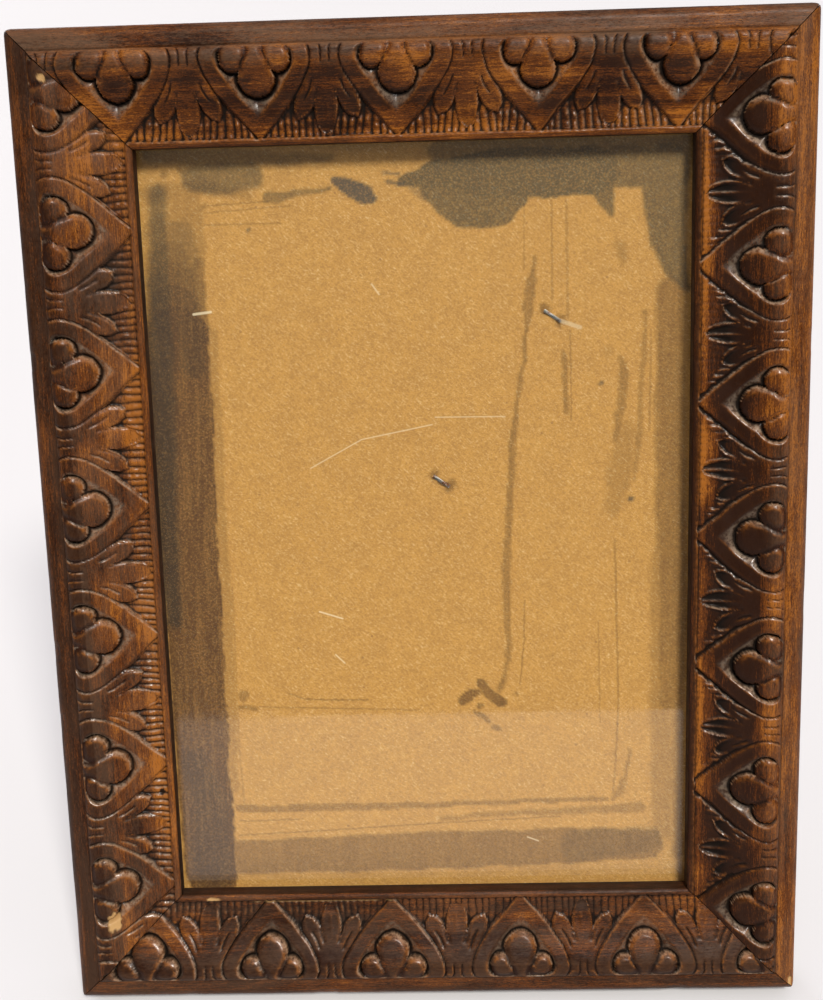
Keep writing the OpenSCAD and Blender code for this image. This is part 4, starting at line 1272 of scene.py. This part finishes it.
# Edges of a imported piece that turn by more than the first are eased, and those that then
# still turn by more than the second are shaded as sharp.
EASED_FROM_DEGREES = 35
PIECE_SHARP_DEGREES = 40


def merged_form(mesh, nearest, matrix=None):
    """A mesh to edit, with its doubled points and the edges inside its flat faces gone."""
    form = bmesh.new()
    form.from_mesh(mesh)
    if matrix is not None:
        form.transform(matrix)
    bmesh.ops.remove_doubles(form, verts=form.verts, dist=nearest)
    bmesh.ops.dissolve_limit(
        form, angle_limit=math.radians(1.0), verts=form.verts, edges=form.edges)
    return form


def eased_copy(context, node, body, slot, width):
    """A node's own form with its sharp edges eased by a small bevel."""
    mesh = frame["nodes"][node].data.copy()
    mesh.name = node + "_eased"
    mesh.materials.clear()
    form = merged_form(mesh, 1e-6)
    sharp = [edge for edge in form.edges if len(edge.link_faces) == 2
             and edge.calc_face_angle(0) > math.radians(EASED_FROM_DEGREES)]
    bmesh.ops.bevel(form, geom=sharp, offset=width * MM, segments=2, profile=0.6,
                    affect="EDGES", clamp_overlap=True)
    form.to_mesh(mesh)
    form.free()
    mesh.shade_smooth()
    mesh.set_sharp_from_angle(angle=math.radians(PIECE_SHARP_DEGREES))
    return add_piece(context, mesh, body, slot, node)


def dress(node, material):
    """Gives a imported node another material."""
    mesh = frame["nodes"][node].data
    mesh.materials.clear()
    mesh.materials.append(material)


# The board, whose stains and painted shadow of the lip are painted on the points of its front


def front_grid(form, step):
    """Divides the front of the board, where it shows, into a grid of about that step."""
    faces = [face for face in form.faces if face.normal.z > 0.9]
    for axis, sight in enumerate((SIGHT_W, SIGHT_H)):
        half = sight / 2 + 1.5
        rest, done = faces, []
        for at in np.linspace(-half, half, int(2 * half / step)):
            point, way = Vector((0, 0, 0)), Vector((0, 0, 0))
            point[axis], way[axis] = at, 1
            parts = {v for face in rest for v in face.verts}
            edges = {e for face in rest for e in face.edges}
            result = bmesh.ops.bisect_plane(
                form, geom=[*parts, *edges, *rest], plane_co=point, plane_no=way, dist=1e-5)
            pieces = [part for part in result["geom"] if isinstance(part, bmesh.types.BMFace)]
            rest = [face for face in pieces if face.calc_center_median()[axis] > at]
            done += [face for face in pieces if face.calc_center_median()[axis] <= at]
        faces = done + rest


def stroke_cover(u, v, strokes):
    """How strongly the strokes cover each place, from 0 to 1."""
    cover = np.zeros_like(u)
    for strength, soft, *points in strokes:
        for (u_0, v_0, half_0), (u_1, v_1, half_1) in zip(points, points[1:] or points):
            run = np.array((u_1 - u_0, v_1 - v_0))
            part = ((u - u_0) * run[0] + (v - v_0) * run[1]) / max(run @ run, 1e-6)
            part = np.clip(part, 0, 1)
            away = np.hypot(u - u_0 - part * run[0], v - v_0 - part * run[1])
            reach = half_0 + part * (half_1 - half_0)
            cover = np.maximum(cover, strength * ease((reach - away) / (2 * soft) + 0.5))
    return cover


def torn_part(u, v, middle):
    """How torn the board is round the two tabs that come through it, from 0 to 1."""
    tabs = moved(node_points("strut_plate"), TO_PLANE) / MM - np.array(middle.translation)
    tabs = tabs[tabs[:, 2] > BOARD_LOW[2] - BOARD_HIGH[2] + 0.3]
    near = np.min(np.hypot(u[:, None] - tabs[:, 0], v[:, None] - tabs[:, 1]), axis=1)
    return ease((1.6 + 0.5 * ripple(u / 0.7, v / 0.7, 5) - near) / 1.2)


def make_board(context, sizes):
    """The board with its own holes, a fine grid on its front, and stains and a painted shadow of
    the lip on that grid.
    """
    middle = Matrix.Translation(Vector((0, FRAME_H / 2, BOARD_HIGH[2])))
    to_middle = middle.inverted() @ Matrix.Scale(1 / MM, 4) @ TO_PLANE
    form = merged_form(frame["nodes"]["backboard"].data, 1e-3, to_middle)
    form.normal_update()
    front_grid(form, sizes.board_step)
    mesh = bpy.data.meshes.new("stained_board")
    form.to_mesh(mesh)
    form.free()
    points = np.empty(len(mesh.vertices) * 3)
    mesh.vertices.foreach_get("co", points)
    points = points.reshape(-1, 3)
    u, v = points[:, 0], points[:, 1]
    torn = torn_part(u, v, middle)
    points[:, 2] -= 0.3 * torn * (points[:, 2] > -0.01)
    mesh.vertices.foreach_set("co", points.ravel())
    wander_u = u + 0.35 * ripple(u / 2.3, v / 4.1, 1) + 0.25 * ripple(u / 0.8, v / 1.2, 2)
    wander_v = v + 0.35 * ripple(u / 3.1, v / 2.3, 3) + 0.20 * ripple(u / 1.1, v / 0.8, 4)
    for label, strokes in (
            ("brown", BROWN_STAINS), ("grey", GREY_STAINS_AND_SHADOW), ("ink", INK_STAINS)):
        field = stroke_cover(wander_u, wander_v, strokes)
        if label == "brown":
            field = np.maximum(field, 0.55 * torn)
        layer = mesh.attributes.new(label, "FLOAT", "POINT")
        layer.data.foreach_set("value", field.astype(np.float32))
    mesh.transform(to_middle.inverted())
    mesh.update()
    return add_piece(context, mesh, "frame", "fibreboard", "backboard")


# The stage

# How far the floor reaches to the sides and back, where its front edge is, and the colour
# of the faint clouds on it.
FLOOR_REACH_M = 4.0
FLOOR_FRONT_M = -0.53
FLOOR_CLOUD = (0.7, 0.7, 0.7)

# The camera in the frame's plane: its place in millimetres from the middle of the flat
# round the glass, where it looks, what is up, and its focal length in pixels.
CAMERA_AT = (7.15, 70.6, 298.8)
CAMERA_LOOK = (-0.0308, -0.2037, -0.9785)
CAMERA_UP = (0.0226, 0.9786, -0.2045)
CAMERA_FOCUS_PX = 1421
IMAGE_W_PX = 823

# The sky's colour at the horizon, overhead, and where the camera sees it.
SKY_LOW = (0.16, 0.17, 0.19)
SKY_HIGH = (1.25, 1.15, 1.25)
SKY_SEEN = (2.0, 2.0, 2.0)

# Each lamp: its name, the direction in which it stands, in the frame's plane, how many
# degrees wide it is, its strength and its colour.
LAMPS = (
    ("key", (0.22, 0.56, 0.83), 13, 3.1, (1.0, 0.97, 0.92)),
    ("back_lamp", (-0.5, 0.5, -0.9), 25, 0.7, (0.92, 0.96, 1.0)),
)


def place_camera(context):
    """The camera at the photograph's viewing angle."""
    sizes = in_mm(context.scene.carved_sizes)
    data = bpy.data.cameras.new("camera")
    camera = bpy.data.objects.new("camera", data)
    context.scene.collection.objects.link(camera)
    turn = PLANE.to_3x3()
    middle = Vector((0, FRAME_H / 2, sizes.shoulder + sizes.lip_depth))
    look = (turn @ Vector(CAMERA_LOOK)).normalized()
    right = look.cross(turn @ Vector(CAMERA_UP)).normalized()
    up = right.cross(look)
    place = Matrix((right, up, -look)).transposed().to_4x4()
    place.translation = PLANE @ ((middle + Vector(CAMERA_AT)) * MM)
    camera.matrix_world = place
    data.sensor_fit = "HORIZONTAL"
    data.sensor_width = 36
    data.lens = data.sensor_width * CAMERA_FOCUS_PX / IMAGE_W_PX
    data.clip_start = 0.01
    context.scene.camera = camera


def lay_floor(context):
    """A plain pale floor. Its front edge is near, and ends the pale haze low in the glass."""
    mesh = bpy.data.meshes.new("floor")
    mesh.from_pydata(
        [(-FLOOR_REACH_M, FLOOR_FRONT_M, 0), (FLOOR_REACH_M, FLOOR_FRONT_M, 0),
         (FLOOR_REACH_M, FLOOR_REACH_M, 0), (-FLOOR_REACH_M, FLOOR_REACH_M, 0)],
        [], [(0, 1, 2, 3)])
    floor = bpy.data.objects.new("floor", mesh)
    context.scene.collection.objects.link(floor)
    material, net = start_material("pale_floor")
    cloud = net.noise(net.add("ShaderNodeTexCoord").outputs["Object"], 6.0, 3.0)
    faint = net.spread(cloud, 0.3, 0.7, 0.0, 0.05)
    finish_surface(net, net.mix(faint, context.scene.carved_looks.floor, FLOOR_CLOUD), 0.8)
    mesh.materials.append(material)


def light_room(context):
    """Daylight from the upper right, a weak lamp at the back, and a sky that is bright
    above and dim at the horizon."""
    scene = context.scene
    world = bpy.data.worlds.new("sky")
    world.use_nodes = True
    world.node_tree.nodes.clear()
    net = Net(world.node_tree)
    way = net.add("ShaderNodeTexCoord").outputs["Generated"]
    height = net.add("ShaderNodeSeparateXYZ", {0: way}).outputs["Z"]
    above = net.mix(net.spread(height, 0.0, 0.9), SKY_LOW, SKY_HIGH)
    seen = net.add("ShaderNodeLightPath").outputs["Is Camera Ray"]
    colour = net.mix(seen, above, SKY_SEEN)
    sky = net.add("ShaderNodeBackground", {"Color": colour, "Strength": 0.45})
    output = net.add("ShaderNodeOutputWorld")
    net.feed(output.inputs["Surface"], sky)
    scene.world = world
    middle = Vector((0, FRAME_H / 2, CREST)) * MM
    for name, toward, width, strength, lamp_colour in LAMPS:
        data = bpy.data.lights.new(name, "SUN")
        data.angle = math.radians(width)
        data.energy = strength
        data.color = lamp_colour
        lamp = bpy.data.objects.new(name, data)
        toward = Vector(toward).normalized()
        lamp.location = PLANE @ (middle + toward)
        turned = PLANE.to_3x3() @ toward
        lamp.rotation_euler = turned.to_track_quat("Z", "Y").to_euler()
        scene.collection.objects.link(lamp)


# Operators


class CARVEDFRAME_OT_stage(bpy.types.Operator):
    """Sets the camera, a plain pale floor and soft light"""

    bl_idname = "carvedframe.stage"
    bl_label = "Stage"

    def execute(self, context):
        context.scene.view_settings.view_transform = "Standard"
        place_camera(context)
        lay_floor(context)
        light_room(context)
        return {"FINISHED"}


class CARVEDFRAME_OT_sticks(bpy.types.Operator):
    """Carves the two rails and the two stiles"""

    bl_idname = "carvedframe.sticks"
    bl_label = "Carved sticks"

    def execute(self, context):
        sizes = in_mm(context.scene.carved_sizes)
        walnut = walnut_material(context.scene.carved_looks)
        for name in STICKS:
            make_stick(context, name, sizes).data.materials.append(walnut)
        return {"FINISHED"}


class CARVEDFRAME_OT_glass(bpy.types.Operator):
    """Finishes the glass"""

    bl_idname = "carvedframe.glass"
    bl_label = "Glass"

    def execute(self, context):
        dress("glass_pane", glass_material())
        return {"FINISHED"}


class CARVEDFRAME_OT_board(bpy.types.Operator):
    """Finishes the fibreboard"""

    bl_idname = "carvedframe.board"
    bl_label = "Fibreboard"

    def execute(self, context):
        board = make_board(context, in_mm(context.scene.carved_sizes))
        board.data.materials.append(board_material(context.scene.carved_looks))
        return {"FINISHED"}


class CARVEDFRAME_OT_fittings(bpy.types.Operator):
    """Makes the turn buttons and their screws, and the corner nails"""

    bl_idname = "carvedframe.fittings"
    bl_label = "Buttons, screws and nails"

    def execute(self, context):
        looks = context.scene.carved_looks
        brass = metal_material("old_brass", looks.brass, looks.tarnish, 0.85)
        screw = metal_material("screw_brass", looks.brass, looks.tarnish, 0.7)
        nail = metal_material("nail_steel", looks.steel, looks.rust, 1.0)
        for side in ("top", "bottom", "left", "right"):
            node = "button_" + side
            eased_copy(context, node, node, "button_brass", 0.3).data.materials.append(brass)
        screws = eased_copy(context, "button_screws", "frame", "screw_brass", 0.12)
        screws.data.materials.append(screw)
        dress("corner_nails", nail)
        return {"FINISHED"}


class CARVEDFRAME_OT_strut(bpy.types.Operator):
    """Makes the strut: its plate, pin, leaf, rivets and leg"""

    bl_idname = "carvedframe.strut"
    bl_label = "Strut"

    def execute(self, context):
        looks = context.scene.carved_looks
        steel = metal_material("hinge_steel", looks.steel, looks.rust, 0.78, looks.crevice)
        pin = metal_material("pin_steel", looks.steel, looks.rust, 0.8)
        rivet = metal_material("rivet_steel", looks.steel, looks.rust, 0.65)
        leg = leg_material(looks)
        for node, body, slot, width, material in (
                ("strut_plate", "frame", "hinge_steel", 0.12, steel),
                ("hinge_pin", "frame", "pin_steel", 0.15, pin),
                ("strut_leaf", "strut", "hinge_steel", 0.12, steel),
                ("strut_rivets", "strut", "rivet_steel", 0.25, rivet),
                ("strut_leg", "strut", "leg_board", 0.35, leg)):
            eased_copy(context, node, body, slot, width).data.materials.append(material)
        return {"FINISHED"}


OPERATORS = (
    CARVEDFRAME_OT_stage, CARVEDFRAME_OT_sticks, CARVEDFRAME_OT_glass, CARVEDFRAME_OT_board,
    CARVEDFRAME_OT_fittings, CARVEDFRAME_OT_strut)


class CARVEDFRAME_PT_panel(bpy.types.Panel):
    """Lists the steps and the sizes and colours that they use"""

    bl_idname = "CARVEDFRAME_PT_panel"
    bl_label = "Carved frame"
    bl_space_type = "VIEW_3D"
    bl_region_type = "UI"
    bl_category = "Carved frame"

    def draw(self, context):
        for step in OPERATORS:
            self.layout.operator(step.bl_idname)
        for group in (context.scene.carved_sizes, context.scene.carved_looks):
            box = self.layout.box()
            for name in group.__annotations__:
                box.prop(group, name)


CLASSES = (CarvedFrameSizes, CarvedFrameLooks, *OPERATORS, CARVEDFRAME_PT_panel)


def register():
    for kind in CLASSES:
        bpy.utils.register_class(kind)
    bpy.types.Scene.carved_sizes = PointerProperty(type=CarvedFrameSizes)
    bpy.types.Scene.carved_looks = PointerProperty(type=CarvedFrameLooks)


def unregister():
    del bpy.types.Scene.carved_looks
    del bpy.types.Scene.carved_sizes
    for kind in reversed(CLASSES):
        bpy.utils.unregister_class(kind)


def main():
    register()
    bpy.ops.carvedframe.stage()
    bpy.ops.carvedframe.sticks()
    bpy.ops.carvedframe.glass()
    bpy.ops.carvedframe.board()
    bpy.ops.carvedframe.fittings()
    bpy.ops.carvedframe.strut()


if __name__ == "__main__":
    main()
